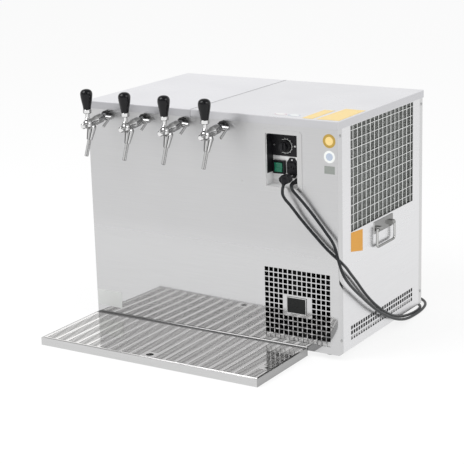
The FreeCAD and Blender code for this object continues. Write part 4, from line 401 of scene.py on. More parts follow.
def new_group(name, inputs, outputs):
    """A node group with its sockets made, its input and output nodes, and its tree."""
    group = bpy.data.node_groups.new(name, "ShaderNodeTree")
    for label, kind, value in inputs:
        socket = group.interface.new_socket(name=label, in_out="INPUT", socket_type=kind)
        if value is not None:
            socket.default_value = value
    for label, kind in outputs:
        group.interface.new_socket(name=label, in_out="OUTPUT", socket_type=kind)
    return group, group.nodes.new("NodeGroupInput"), group.nodes.new("NodeGroupOutput")


def noise_of(group, inside, detail):
    """Noise at the group's Vector, and at its Scale where it has that input."""
    noise = group.nodes.new("ShaderNodeTexNoise")
    noise.inputs["Scale"].default_value = 1.0
    noise.inputs["Detail"].default_value = detail
    for label in ("Vector", "Scale"):
        if label in inside.outputs:
            group.links.new(inside.outputs[label], noise.inputs[label])
    return noise.outputs["Fac"]


def textured_group(name, inputs, detail, sway, tone_sway, height):
    """A group whose noise, less its middle of a half, sways the roughness and the tone.
    Roughness is its input plus noise times the sway, which is a number or an input's name. Tone
    is 1 plus noise times the tone's sway. The noise also lifts the surface by a height."""
    outputs = [("Roughness", FLOAT), ("Tone", FLOAT), ("Normal", VECTOR)]
    group, inside, outside = new_group(name, [("Vector", VECTOR, None), *inputs], outputs)
    noise = noise_of(group, inside, detail)
    centred = math_node(group, "SUBTRACT", noise, 0.5)
    amount = inside.outputs[sway] if isinstance(sway, str) else sway
    swayed = math_node(group, "MULTIPLY", centred, amount)
    rough = math_node(group, "ADD", inside.outputs["Roughness"], swayed)
    tone = math_node(group, "ADD", math_node(group, "MULTIPLY", centred, tone_sway), 1.0)
    bump = group.nodes.new("ShaderNodeBump")
    bump.inputs["Distance"].default_value = height
    group.links.new(inside.outputs["Depth"], bump.inputs["Strength"])
    group.links.new(noise, bump.inputs["Height"])
    for label, value in (("Roughness", rough), ("Tone", tone), ("Normal", bump.outputs["Normal"])):
        group.links.new(value, outside.inputs[label])
    return group


FLOAT, VECTOR = "NodeSocketFloat", "NodeSocketVector"
grain_group = textured_group(
    "rolled_grain", [("Roughness", FLOAT, 0.2), ("Spread", FLOAT, 0.05), ("Depth", FLOAT, 0.1)],
    detail=3.0, sway="Spread", tone_sway=0.10, height=0.0002)
skin_group = textured_group(
    "moulded_skin", [("Scale", FLOAT, 900.0), ("Roughness", FLOAT, 0.4), ("Depth", FLOAT, 0.2)],
    detail=2.0, sway=0.18, tone_sway=0.3, height=0.0001)

SMUDGE_START, SMUDGE_FULL = 0.42, 0.72
smudge_group, inside, outside = new_group(
    "handling_smudges",
    [("Vector", VECTOR, None), ("Scale", FLOAT, 6.0), ("Amount", FLOAT, 0.05)],
    [("Value", FLOAT)],
)
clouds = map_range(smudge_group, noise_of(smudge_group, inside, 4.0), SMUDGE_START, SMUDGE_FULL, 0.0, 1.0)
smudge_group.links.new(
    math_node(smudge_group, "MULTIPLY", clouds, inside.outputs["Amount"]), outside.inputs["Value"])
print("node groups:", [group.name for group in bpy.data.node_groups])

# %% [markdown]
# ## Steel, chrome, plastic
# Two recipes make all of the materials. Sheet steel is a metal whose grain runs along one axis,
# and chrome is the same metal with hardly any texture. Plastic, rubber and printed stickers are
# no metal and have a fine moulded skin. Some finishes carry painted shade by place, at a cut
# edge, in a hollow, towards a rim and over height, painted light inside the control recess, and
# the two lids are painted as a lit and a shaded copy of one steel. The upper front is duller,
# where a sharp sheet would mirror the lead more than the real one shows. Each change runs over a
# span: an axis of the Object coordinates, the place where it starts and the place where it is full.

# %% Steps that both recipes share


def start_material(name, colour, metallic, roughness):
    """A material with a Principled shader and Object coordinates ready."""
    material = bpy.data.materials.new(name)
    material.use_nodes = True
    tree, out = emptied(material.node_tree, "ShaderNodeOutputMaterial")
    shader = tree.nodes.new("ShaderNodeBsdfPrincipled")
    shader.inputs["Base Color"].default_value = (*colour, 1)
    shader.inputs["Metallic"].default_value = metallic
    shader.inputs["Roughness"].default_value = roughness
    tree.links.new(shader.outputs[0], out.inputs["Surface"])
    coords = tree.nodes.new("ShaderNodeTexCoord")
    return material, tree, shader, coords.outputs["Object"]


def toned(tree, colour, tone, shader):
    """The base colour times a tone that wanders about 1."""
    product = tree.nodes.new("ShaderNodeVectorMath")
    product.operation = "SCALE"
    product.inputs[0].default_value = colour
    tree.links.new(tone, product.inputs["Scale"])
    tree.links.new(product.outputs[0], shader.inputs["Base Color"])


def over_span(tree, coords, span, low, high):
    """A value that goes from low to high over a span."""
    axis, start, full = span
    return map_range(tree, axis_of(tree, coords, axis), start, full, low, high)


def placed(tree, group, vector, **values):
    """The outputs of a node group placed in a material with its own values."""
    node = tree.nodes.new("ShaderNodeGroup")
    node.node_tree = group
    for label, value in values.items():
        node.inputs[label].default_value = value
    tree.links.new(vector, node.inputs["Vector"])
    return node.outputs


# %% Sheet steel
# how far a face turns from the eye where the painted rim shade starts and where it is full
RIM_START, RIM_FULL = 0.22, 0.72


def sheet_steel(name, colour, roughness, stretch, depth=0.08, spread=0.06, smudges=0.05, rim=1.0,
                shades=(), wells=(), deep=0.12, duller=None, flatter=None):
    """Rolled sheet: grain stretched along one axis, with soft smudges on the roughness.
    Rim is the tone of painted shade on what turns away from the eye. Each shade is a span with
    the painted tone at its end. Wells are spans that together mark cut edges and hollows, and deep
    is the tone of the painted shade there.
    Duller is a span with the roughness added at its end, and flatter one with the metal left."""
    material, tree, shader, coords = start_material(name, colour, 1.0, roughness)
    mapping = tree.nodes.new("ShaderNodeMapping")
    mapping.inputs["Scale"].default_value = stretch
    tree.links.new(coords, mapping.inputs["Vector"])
    grain = placed(tree, grain_group, mapping.outputs[0], Roughness=roughness, Spread=spread, Depth=depth)
    smears = placed(tree, smudge_group, coords, Amount=smudges)
    rough = math_node(tree, "ADD", grain["Roughness"], smears["Value"])
    if duller:
        rough = math_node(tree, "ADD", rough, over_span(tree, coords, duller[:3], 0.0, duller[3]))
    tree.links.new(rough, shader.inputs["Roughness"])
    if flatter:
        tree.links.new(over_span(tree, coords, flatter[:3], 1.0, flatter[3]), shader.inputs["Metallic"])
    tree.links.new(grain["Normal"], shader.inputs["Normal"])
    tone = grain["Tone"]
    # painted shade on faces that turn away from the eye
    if rim < 1.0:
        facing = tree.nodes.new("ShaderNodeLayerWeight").outputs["Facing"]
        tone = math_node(tree, "MULTIPLY", tone, map_range(tree, facing, RIM_START, RIM_FULL, 1.0, rim))
    # painted shade over each span, or painted light where the tone is above 1
    for *span, shade in shades:
        tone = math_node(tree, "MULTIPLY", tone, over_span(tree, coords, span, 1.0, shade))
    # painted shade in hollows and at cut edges
    if wells:
        hollow = 1.0
        for span in wells:
            hollow = math_node(tree, "MULTIPLY", hollow, over_span(tree, coords, span, 0.0, 1.0))
        tone = math_node(tree, "MULTIPLY", tone, map_range(tree, hollow, 0.0, 1.0, 1.0, deep))
    toned(tree, colour, tone, shader)
    return material


# %% Plastic
COAT_ROUGHNESS = 0.04


def plastic(name, colour, roughness, scale=900.0, depth=0.2, coat=0.0, specular=0.5):
    """Moulded plastic or rubber with a fine skin."""
    material, tree, shader, coords = start_material(name, colour, 0.0, roughness)
    shader.inputs["Coat Weight"].default_value = coat
    shader.inputs["Coat Roughness"].default_value = COAT_ROUGHNESS
    shader.inputs["Specular IOR Level"].default_value = specular
    skin = placed(tree, skin_group, coords, Scale=scale, Roughness=roughness, Depth=depth)
    tree.links.new(skin["Roughness"], shader.inputs["Roughness"])
    tree.links.new(skin["Normal"], shader.inputs["Normal"])
    toned(tree, colour, skin["Tone"], shader)
    return material


# %% Cabinet's metals
FINE, LONG = 700.0, 9.0
lid_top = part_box("lid_right")[1][2]
# the lids' front bend, below which each lid carries a painted shade
lid_bend = ("Z", lid_top - 0.0006, lid_top - 0.0026)
panel_edge, panel_inside = HALF_WIDTH - 0.0030, HALF_WIDTH - 0.0040
vent_top = ("Z", 0.27, 0.26)
recess_mouth = ("Y", front_y - 0.0002, front_y + 0.0013)
# painted shade: a little darker towards the bottom, and dark on the vent holes' walls behind the face, below
# the vent's top and inside the side bends
mirror_steel = sheet_steel(
    "mirror_steel", (0.62, 0.62, 0.625), 0.05, (LONG, LONG, FINE), 0.010, 0.03, 0.03,
    shades=(("Z", 0.30, 0.02, 0.95),), duller=("Z", 0.19, 0.30, 0.33),
    wells=(("Y", front_y + 0.00005, front_y + 0.0004), ("X", panel_edge, panel_inside),
           ("X", -panel_edge, -panel_inside), vent_top))
# painted light: paler and less metallic from the recess's mouth inwards
recess_steel = sheet_steel(
    "recess_steel", (0.60, 0.60, 0.60), 0.30, (FINE, FINE, LONG), 0.010, 0.03, 0.03,
    shades=((*recess_mouth, 1.45),), flatter=(*recess_mouth, 0.15))
# painted shade: a little darker towards the top
side_steel = sheet_steel(
    "side_steel", (0.76, 0.76, 0.77), 0.28, (LONG, LONG, FINE), 0.02, 0.06, 0.04,
    shades=(("Z", 0.30, 0.60, 0.97),))
# one lid steel in a lit and a shaded copy, the left painted lighter, each with painted shade over its front
# bend
lid_steel_left_painted_light = sheet_steel(
    "lid_steel_left_painted_light", (0.81, 0.81, 0.84), 0.28, (LONG, FINE, LONG), 0.03, 0.05, 0.04,
    shades=((*lid_bend, 0.60),))
lid_steel_right_painted_shade = sheet_steel(
    "lid_steel_right_painted_shade", (0.775, 0.775, 0.80), 0.28, (LONG, FINE, LONG), 0.03, 0.05, 0.04,
    shades=((*lid_bend, 0.78),))
back_steel = sheet_steel("back_steel", (0.66, 0.66, 0.66), 0.34, (LONG, FINE, FINE), 0.08, 0.08, 0.05)
print("lid's bend", lid_bend, "recess mouth", recess_mouth)

# %% Tray's metals


def inside_of(low, high, start, full):
    """Spans that mark what lies inside a box's four sides by more than two distances."""
    spans = []
    for number, axis in enumerate("XY"):
        spans.append((axis, low[number] + start, low[number] + full))
        spans.append((axis, high[number] - start, high[number] - full))
    return tuple(spans)


tray_low, tray_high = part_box("drip_tray_pan")
# painted shade: along the right edge, at the rear rim and inside the pan
tray_steel = sheet_steel(
    "tray_steel", (0.60, 0.60, 0.60), 0.16, (LONG, FINE, FINE), 0.03, 0.05, 0.04,
    shades=(("X", tray_high[0] - 0.0016, tray_high[0] - 0.0006, 0.62),
            ("Y", tray_high[1] - 0.0030, tray_high[1] - 0.0016, 0.30)),
    wells=(("Z", tray_high[2] - 0.0016, tray_high[2] - 0.0030),
           *inside_of(tray_low, tray_high, 0.0006, 0.0014)), deep=0.55)
sheet_low, sheet_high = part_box("drip_grille")
# painted shade: along the rear bend, over the rear margin, at the front edge and inside the slots
grille_steel = sheet_steel(
    "grille_steel", (0.88, 0.87, 0.86), 0.10, (FINE, LONG, FINE), 0.03, 0.05, 0.04,
    shades=(("Y", sheet_high[1] - 0.0022, sheet_high[1] - 0.0010, 0.45),
            ("Y", sheet_high[1] - 0.0105, sheet_high[1] - 0.0085, 0.36),
            ("Y", sheet_low[1] + 0.0020, sheet_low[1] + 0.0008, 0.70)),
    wells=(("Z", sheet_high[2] - 0.00015, sheet_high[2] - 0.0004),
           *inside_of(sheet_low, sheet_high, 0.002, 0.004)))
print("tray", tray_low, tray_high)

# %% Small parts' metals
tube_steel = sheet_steel("tube_steel", (0.68, 0.68, 0.68), 0.22, (FINE, FINE, LONG), 0.04, 0.05, 0.03)
# chrome, satin chrome and screw steel carry painted shade on faces that turn away from the eye, in place of
# dark surroundings in their reflections
chrome = sheet_steel("chrome", (0.78, 0.78, 0.78), 0.040, (60.0,) * 3, 0.0, 0.02, 0.02, rim=0.10)
satin_chrome = sheet_steel("satin_chrome", (0.60, 0.60, 0.59), 0.20, (FINE, LONG, FINE),
                           0.05, 0.06, 0.04, rim=0.20)
screw_steel = sheet_steel("screw_steel", (0.62, 0.62, 0.62), 0.28, (400.0,) * 3, 0.1, 0.1, 0.05, rim=0.4)
wire_steel = sheet_steel("wire_steel", (0.90, 0.91, 0.90), 0.28, (90.0,) * 3, 0.1, 0.1, 0.05)
fin_metal = sheet_steel("fin_metal", (0.72, 0.74, 0.72), 0.42, (120.0, 120.0, 400.0), 0.2, 0.2, 0.1)
fan_metal = sheet_steel("fan_metal", (0.55, 0.55, 0.55), 0.40, (200.0,) * 3, 0.2, 0.1, 0.1)
copper = sheet_steel("copper", (0.80, 0.46, 0.30), 0.26, (120.0,) * 3, 0.1, 0.1, 0.1)
print("metals:", len(bpy.data.materials))

# %% Plastics, rubber and prints
# a near-black for the painted shadow in the gap between the lids
painted_seam_shadow = plastic("painted_seam_shadow", (0.035, 0.033, 0.032), 0.5, specular=0.2)
grip_plastic = plastic("grip_plastic", (0.004, 0.004, 0.005), 0.14, 40.0, 0.02, specular=0.30)
black_plastic = plastic("black_plastic", (0.010, 0.010, 0.012), 0.40, specular=0.22)
nut_plastic = plastic("nut_plastic", (0.014, 0.014, 0.014), 0.24, 500.0, 0.1, specular=0.35)
green_plastic = plastic("green_plastic", (0.012, 0.15, 0.085), 0.16, 300.0, 0.05, 0.2, 0.3)
lead_rubber = plastic("lead_rubber", (0.014, 0.016, 0.018), 0.36, 600.0, 0.15, specular=0.30)
foot_rubber = plastic("foot_rubber", (0.025, 0.025, 0.025), 0.62, 500.0, 0.4)
black_enamel = plastic("black_enamel", (0.008, 0.009, 0.009), 0.30, 300.0, 0.1, specular=0.25)
pale_plastic = plastic("pale_plastic", (0.60, 0.60, 0.58), 0.36)
foam_finish = plastic("foam_finish", (0.78, 0.70, 0.48), 0.82, 260.0, 0.7)
print_white = plastic("print_white", (0.78, 0.80, 0.78), 0.45)
label_pale = plastic("label_pale", (0.60, 0.61, 0.60), 0.42)
PRINT = (700.0, 0.05)
label_orange = plastic("label_orange", (0.62, 0.28, 0.012), 0.42, *PRINT)
label_gold = plastic("label_gold", (0.42, 0.27, 0.04), 0.34, *PRINT)
label_yellow = plastic("label_yellow", (0.80, 0.60, 0.24), 0.42, *PRINT)
label_blue = plastic("label_blue", (0.42, 0.48, 0.58), 0.42, *PRINT)
label_grey = plastic("label_grey", (0.25, 0.27, 0.25), 0.46, *PRINT)
label_pink = plastic("label_pink", (0.62, 0.48, 0.54), 0.46, *PRINT)
print("materials:", len(bpy.data.materials))

# %% Finish of each CAD piece
FINISHES = {
    mirror_steel: ("front_panel",),
    recess_steel: ("control_recess",),
    side_steel: ("right_side_panel", "left_side_panel"),
    lid_steel_left_painted_light: ("lid_left",),
    lid_steel_right_painted_shade: ("lid_right",),
    back_steel: ("back_panel", "base_pan", "partition", "fan_shroud", "bath_tank"),
    tray_steel: ("drip_tray_pan",),
    grille_steel: ("drip_grille",),
    tube_steel: ("beer_coils", "agitator_shaft"),
    copper: ("evaporator_coil",),
    chrome: ("tap_spouts",) + tuple("%s_%d" % (part, tap) for tap in range(1, 5)
                                    for part in ("tap_body", "tap_lever", "compensator_lever")),
    grip_plastic: tuple("grip_%d" % tap for tap in range(1, 5)),
    satin_chrome: ("right_handle_plate", "right_handle_bail", "left_handle_plate", "left_handle_bail"),
    screw_steel: ("control_screws", "panel_screws"),
    wire_steel: ("side_grille",),
    fin_metal: ("condenser_core",),
    fan_metal: ("condenser_fan",),
    nut_plastic: ("coupling_nuts",),
    black_plastic: ("thermostat_plate", "thermostat_knob", "switch_bezel", "outlet_socket", "cable_gland",
                    "mains_plug"),
    green_plastic: ("rocker_switch",),
    lead_rubber: ("mains_lead",),
    foot_rubber: ("feet",),
    black_enamel: ("agitator_motor", "compressor", "fan_motor", "badge_plate"),
    pale_plastic: ("inlet_fittings",),
    foam_finish: ("tank_insulation",),
}
for finish, names in FINISHES.items():
    for name in names:
        for material_slot in nodes[name].material_slots:
            material_slot.material = finish
finished = {name for names in FINISHES.values() for name in names}
print("nodes without a finish:", sorted(set(nodes) - finished))

# %% Dress the lead
lead_curve.materials.append(lead_rubber)
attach(lead_line, "cabinet")
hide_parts("mains_lead")
along = np.concatenate([[0], np.cumsum(np.linalg.norm(np.diff(lead_points, axis=0), axis=1))])
SLEEVE_START, SLEEVE_END, SLEEVE_RADII, SLEEVE_SAMPLES = 0.0002, 0.026, (0.0056, 0.0042), 53
RIBS, RIB_HEIGHT = 7, 0.00022
sleeve_at = np.linspace(SLEEVE_START, SLEEVE_END, SLEEVE_SAMPLES)
sleeve_path = np.stack([np.interp(sleeve_at, along, lead_points[:, axis]) for axis in range(3)], axis=-1)
ribs = RIB_HEIGHT * np.cos(np.linspace(0, 2 * np.pi * RIBS, SLEEVE_SAMPLES))
sleeve_radii = np.linspace(*SLEEVE_RADII, SLEEVE_SAMPLES) + ribs
sleeve = piece("gland_sleeve", [drawn(sleeve_path, sleeve_radii, 20)], black_plastic)

# %% [markdown]
# ## The drip grille
# The grille is pressed from one sheet. Nineteen bays of short slots lie side by side, with a
# plain rib between bays, and a round hole lets a finger lift it. Each cell of the pattern is a
# ring of faces between a rectangle and the slot's outline, with a lip that turns down, so the
# cells meet edge to edge and the sheet stays one unbroken skin.

# %% One cell of the grille
SIDE_SAMPLES, SLOT_SAMPLES = 4, 8
LIP_BEND_IN, LIP_BEND_DOWN, LIP_IN = 0.0002, 0.0004, 0.0003


def cell(centre, size, hole, top, down_samples=SIDE_SAMPLES, across_samples=SLOT_SAMPLES, lip=0.0016):
    """A sheet cell with a hole. The rectangle is walked once round, and each of its points is
    joined to the hole's point in the same direction; the lip is the hole's edge moved down.
    The hole is (offset x, offset y, half length, radius) of a stadium."""
    half = np.asarray(size) / 2
    ramp_x = np.linspace(-1, 1, across_samples + 1)[:-1]
    ramp_y = np.linspace(-1, 1, down_samples + 1)[:-1]
    one_x, one_y = np.ones_like(ramp_x), np.ones_like(ramp_y)
    square = np.concatenate([
        np.stack([ramp_x, -one_x], -1), np.stack([one_y, ramp_y], -1),
        np.stack([-ramp_x, one_x], -1), np.stack([-one_y, -ramp_y], -1),
    ])
    edge = square * half
    offset, straight, radius = np.array(hole[:2]), hole[2], hole[3]
    spine = np.clip(edge[:, 0] - offset[0], -straight, straight)
    spine = np.where(np.abs(square[:, 0]) > 0.999, np.sign(square[:, 0]) * straight, spine)
    outward = np.stack([edge[:, 0] - offset[0] - spine, edge[:, 1] - offset[1]], -1)
    outward /= np.linalg.norm(outward, axis=1, keepdims=True)
    rim = offset + np.stack([spine, np.zeros_like(spine)], -1) + outward * radius
    rows = []
    for outline, level in ((edge, top), (rim, top), (rim - outward * LIP_BEND_IN, top - LIP_BEND_DOWN),
                           (rim - outward * LIP_IN, top - lip)):
        rows.append(np.column_stack([outline + np.asarray(centre), np.full(len(outline), level)]))
    return np.stack(rows), grid_faces(4, len(edge), True)


# %% The grille's pattern
grille_low, grille_high = np.array(sheet_low), np.array(sheet_high)
BAYS, ROWS, BAY, ROW = 19, 28, 0.0334, 0.008
FINGER_BAY, FINGER_ROWS, NOTCH_BAY, NOTCH_ROWS = 9, (0, 4), 18, (7, 10)
# each hole is (offset x, offset y, half length, radius) of a stadium
SLOT, FINGER_HOLE = (0, 0, 0.0107, 0.0021), (0, -0.0018, 0.0, 0.0098)
NOTCH_HOLE = (0.0075, 0, 0.0035, 0.0052)
field = np.array([BAYS * BAY, ROWS * ROW])
corner = (grille_low[:2] + grille_high[:2]) / 2 - field / 2
top = grille_high[2]
columns, rows = np.meshgrid(np.arange(BAYS), np.arange(ROWS), indexing="ij")
plain = np.ones(columns.shape, bool)
sheet_parts = []
for bay, (first, last), hole, samples in ((FINGER_BAY, FINGER_ROWS, FINGER_HOLE, 16),
                                          (NOTCH_BAY, NOTCH_ROWS, NOTCH_HOLE, 12)):
    plain[bay, first:last] = False
    centre = (corner[0] + (bay + 0.5) * BAY, corner[1] + (first + last) / 2 * ROW)
    sheet_parts.append(cell(centre, (BAY, (last - first) * ROW), hole, top, samples))
slot_points, slot_faces = cell((0, 0), (BAY, ROW), SLOT, top)
centres = np.stack([corner[0] + (columns[plain] + 0.5) * BAY, corner[1] + (rows[plain] + 0.5) * ROW], -1)
shift = np.column_stack([centres, np.zeros(len(centres))])
every = slot_points.reshape(1, -1, 3) + shift[:, None]
step = slot_points.reshape(-1, 3).shape[0]
every_faces = (slot_faces[None] + step * np.arange(len(centres))[:, None, None]).reshape(-1, 4)
sheet_parts.insert(0, (every, every_faces))
print("slots", len(centres))

# %% The grille's margin


def walk(low, high, level, count):
    """A rectangle walked once round from its low corner, with a number of steps on each side."""
    along_x, along_y = (np.linspace(low[axis], high[axis], count[axis] + 1) for axis in (0, 1))
    sides = ((along_x[:-1], low[1]), (high[0], along_y[:-1]),
             (along_x[:0:-1], high[1]), (low[0], along_y[:0:-1]))
    ring = np.concatenate([np.stack(np.broadcast_arrays(x, y), axis=-1) for x, y in sides])
    return np.column_stack([ring, np.full(len(ring), level)])


def strip(outer, inner, level_out, level_in, count):
    """A flat or upright strip between two rectangles, walked with the same number of points."""
    points = np.stack([walk(*outer, level_out, count), walk(*inner, level_in, count)])
    return points, grid_faces(2, points.shape[1], True)


walk_count = (BAYS * SLOT_SAMPLES, ROWS * SIDE_SAMPLES)
BEND_REACH, WELD_REACH = 0.0006, 0.00002
outer_box = (grille_low[:2], grille_high[:2])
bend_box = (grille_low[:2] + BEND_REACH, grille_high[:2] - BEND_REACH)
sheet_parts.append(strip(bend_box, (corner, corner + field), top, top, walk_count))
sheet_parts.append(strip(outer_box, bend_box, top - BEND_REACH, top, walk_count))
sheet_parts.append(strip(outer_box, outer_box, grille_low[2], top - BEND_REACH, walk_count))
grille = piece("slotted_grille", sheet_parts, grille_steel, "grille", angle=50)
if grille.data.polygons[0].normal.z < 0:
    grille.data.flip_normals()
weld = grille.modifiers.new("weld", "WELD")
weld.merge_threshold = WELD_REACH
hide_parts("drip_grille")
print("grille faces", len(grille.data.polygons))

# %% [markdown]
# ## The front sheet
# The front panel is one sheet, bent back along both sides. It is a grid over the outline and the
# height whose lines fall on every hole's edges, so the square holes are cells that stay empty.
# The tap holes are left out, because the coupling nuts cover them.

# %% A sheet with empty cells


def perforated(outer, inner, levels, solid):
    """A sheet between two outlines with empty cells, and walls wherever a cell ends."""
    rows, columns = len(levels), len(outer)
    skins = [np.concatenate([np.tile(line, (rows, 1)), np.repeat(levels, columns)[:, None]], axis=1)
             for line in (outer, inner)]
    index = np.arange(rows * columns).reshape(rows, columns)
    back = index + rows * columns
    row, column = np.nonzero(solid)

    def quads(*corners):
        return np.stack(corners, axis=-1)

    faces = [
        quads(index[row, column], index[row, column + 1], index[row + 1, column + 1], index[row + 1, column]),
        quads(back[row, column], back[row + 1, column], back[row + 1, column + 1], back[row, column + 1]),
    ]
    around = np.pad(solid, 1)
    for full, empty in ((0, 1), (1, 0)):
        ends = around[1:-1, full:full + columns] & ~around[1:-1, empty:empty + columns]
        row, column = np.nonzero(ends)
        wall = quads(index[row, column], back[row, column], back[row + 1, column], index[row + 1, column])
        faces.append(wall if full == 0 else wall[:, ::-1])
        ends = around[full:full + rows, 1:-1] & ~around[empty:empty + rows, 1:-1]
        row, column = np.nonzero(ends)
        wall = quads(index[row, column], index[row, column + 1], back[row, column + 1], back[row, column])
        faces.append(wall if full == 0 else wall[:, ::-1])
    return np.concatenate(skins), faces


# %% Front sheet's lines
panel_low, panel_high = np.array(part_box("front_panel")[0]), np.array(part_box("front_panel")[1])
SHEET, BEND, WRAP, STEPS = 0.0012, 0.0022, 0.020, 5
HOLE, HOLE_PITCH, HOLE_COUNT = 0.0108, 0.01338, 14
VENT_LEFT, VENT_LOW, ROUNDING = 0.536 - HALF_WIDTH, 0.0381, 0.0001
BADGE_COLUMNS, BADGE_ROWS = (4, 9), (5, 8)
RECESS_X, RECESS_Z = (0.1697, 0.2603), (0.4242, 0.5583)
hole_x = VENT_LEFT + HOLE_PITCH * np.arange(HOLE_COUNT)
hole_z = VENT_LOW + HOLE_PITCH * np.arange(HOLE_COUNT)
straight = np.sort(np.concatenate([hole_x - HOLE / 2, hole_x + HOLE / 2, RECESS_X,
                                   [panel_low[0] + BEND, panel_high[0] - BEND]]))
levels = np.sort(np.concatenate([hole_z - HOLE / 2, hole_z + HOLE / 2, RECESS_Z,
                                 [panel_low[2], panel_high[2]]]))
print("lines", len(straight), "levels", len(levels))

# %% Front sheet's cells


def wrapped(sink):
    """The panel's outline from its left return's end to its right one's, sunk by a distance."""
    turn = np.linspace(0, np.pi / 2, STEPS + 1)[1:-1]
    radius, bend_y = BEND - sink, front_y + BEND
    left, right = panel_low[0] + BEND, panel_high[0] - BEND
    bend_left = np.stack([left - radius * np.cos(turn), bend_y - radius * np.sin(turn)], axis=-1)
    bend_right = np.stack([right + radius * np.sin(turn), bend_y - radius * np.cos(turn)], axis=-1)
    return np.concatenate([
        [(left - radius, front_y + WRAP), (left - radius, bend_y)], bend_left,
        np.column_stack([straight, np.full(len(straight), front_y + sink)]), bend_right,
        [(right + radius, bend_y), (right + radius, front_y + WRAP)],
    ])


def inside_any(middles, lows, highs):
    """True where a middle lies between one of the pairs."""
    return ((middles[:, None] > lows) & (middles[:, None] < highs)).any(axis=1)


outer, inner = wrapped(0.0), wrapped(SHEET)
middle_x, middle_z = (outer[:-1, 0] + outer[1:, 0]) / 2, (levels[:-1] + levels[1:]) / 2
in_column = inside_any(middle_x, hole_x - HOLE / 2, hole_x + HOLE / 2)
in_row = inside_any(middle_z, hole_z - HOLE / 2, hole_z + HOLE / 2)
badge_x, badge_z = hole_x[list(BADGE_COLUMNS)], hole_z[list(BADGE_ROWS)]
beside_badge = inside_any(middle_x, badge_x[:1] - HOLE, badge_x[1:] + HOLE)
level_badge = inside_any(middle_z, badge_z[:1] - HOLE / 2 - ROUNDING, badge_z[1:] + HOLE / 2 + ROUNDING)
vented = in_row[:, None] & in_column[None] & ~(level_badge[:, None] & beside_badge[None])
window = inside_any(middle_z, *RECESS_Z)[:, None] & inside_any(middle_x, *RECESS_X)[None]
front_sheet = piece("front_sheet", [perforated(outer, inner, levels, ~(vented | window))], mirror_steel,
                    angle=25)
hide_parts("front_panel")
print("front sheet faces", len(front_sheet.data.polygons))

# %% [markdown]
# ## The side opening
# Behind the opening a bright welded mesh guards the condenser, a block of close fins with a
# row of tubes through it. Each fin is a thin strip whose edge is waved as pressed fins are, so the
# block looks dashed from afar. Round wires in two directions lie in front.

# %% Mesh
mesh_low, mesh_high = np.array(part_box("side_grille")[0]), np.array(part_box("side_grille")[1])
wire_x = (mesh_low[0] + mesh_high[0]) / 2
WIRE_RADIUS, WIRE_SIDES, PITCH, WIRE_END = 0.0009025, 8, 0.0233, 0.001
FIRST_UPRIGHT, FIRST_LEVEL, UPRIGHT_BACK, LEVEL_FRONT = 0.0046, 0.0042, 0.0004, 0.0003
upright = np.arange(mesh_low[1] + FIRST_UPRIGHT, mesh_high[1], PITCH)
level = np.arange(mesh_low[2] + FIRST_LEVEL, mesh_high[2], PITCH)
wire_ends = np.array([mesh_low + WIRE_END, mesh_high - WIRE_END])
wires = [drawn([(wire_x - UPRIGHT_BACK, y, z) for z in wire_ends[:, 2]], WIRE_RADIUS, WIRE_SIDES)
         for y in upright]
wires += [drawn([(wire_x + LEVEL_FRONT, y, z) for y in wire_ends[:, 1]], WIRE_RADIUS, WIRE_SIDES)
          for z in level]
guard = piece("guard_mesh", wires, wire_steel)
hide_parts("side_grille")
print("wires", len(upright), "upright and", len(level), "level")

# %% Condenser
core_low, core_high = np.array(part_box("condenser_core")[0]), np.array(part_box("condenser_core")[1])
FINS, FIN_SAMPLES, FIN_MARGIN, FIN_HALF = 98, 181, 0.003, 0.0002
FIN_BACK, FIN_FRONT = 0.012, 0.0012
WAVE, WAVE_LENGTH = 0.0011, 0.0058
TUBE_RADIUS, TUBE_SIDES, TUBE_PITCH, TUBE_END = 0.0046, 14, 0.0254, 0.001
TUBE_IN, FIRST_TUBE, LAST_TUBE = 0.0290, 0.0287, 0.0073
PLATE, REAR_PLATE = 0.0012, 0.002
across_fin = np.linspace(core_low[1] + FIN_MARGIN, core_high[1] - FIN_MARGIN, FIN_SAMPLES)
edge_x = core_high[0] - FIN_FRONT - WAVE * np.abs(np.sin(across_fin * np.pi / WAVE_LENGTH))
heights = np.linspace(core_low[2] + FIN_MARGIN, core_high[2] - FIN_MARGIN, FINS)
back_x = np.full(FIN_SAMPLES, core_low[0] + FIN_BACK)
fin_rows = np.stack([np.tile(back_x, (FINS, 1)), np.tile(edge_x, (FINS, 1))], axis=1)
fin_y = np.broadcast_to(across_fin, fin_rows.shape)
fin_z = np.broadcast_to(heights[:, None, None], fin_rows.shape)
lower = np.stack([fin_rows, fin_y, fin_z - FIN_HALF], axis=-1)
upper = np.stack([fin_rows, fin_y, fin_z + FIN_HALF], axis=-1)
loop = np.stack([lower[:, 0], lower[:, 1], upper[:, 1], upper[:, 0]], axis=1)
one_fin = ring_faces(4, FIN_SAMPLES)
fin_faces = (one_fin[None] + 4 * FIN_SAMPLES * np.arange(FINS)[:, None, None]).reshape(-1, 4)
tube = [(TUBE_RADIUS, core_low[2] + TUBE_END), (TUBE_RADIUS, core_high[2] - TUBE_END)]
tubes = [turned(tube, TUBE_SIDES, (core_high[0] - TUBE_IN, y, 0))
         for y in np.arange(core_low[1] + FIRST_TUBE, core_high[1] - LAST_TUBE, TUBE_PITCH)]
plate_low, plate_high = core_low + (0, PLATE, PLATE), core_high - (0, PLATE, PLATE)
ends = boxes(
    [core_low, (core_low[0], plate_high[1], core_low[2]),
     core_low, (core_low[0], core_low[1], plate_high[2])],
    [(core_high[0], plate_low[1], core_high[2]), core_high,
     (core_high[0], core_high[1], plate_low[2]), core_high],
)
rear = boxes([core_low], [(core_low[0] + REAR_PLATE, core_high[1], core_high[2])])
condenser = piece("finned_condenser", [(loop, fin_faces)] + tubes + [ends, rear], fin_metal,
                  smooth=False)
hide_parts("condenser_core")
print("condenser faces", len(condenser.data.polygons))

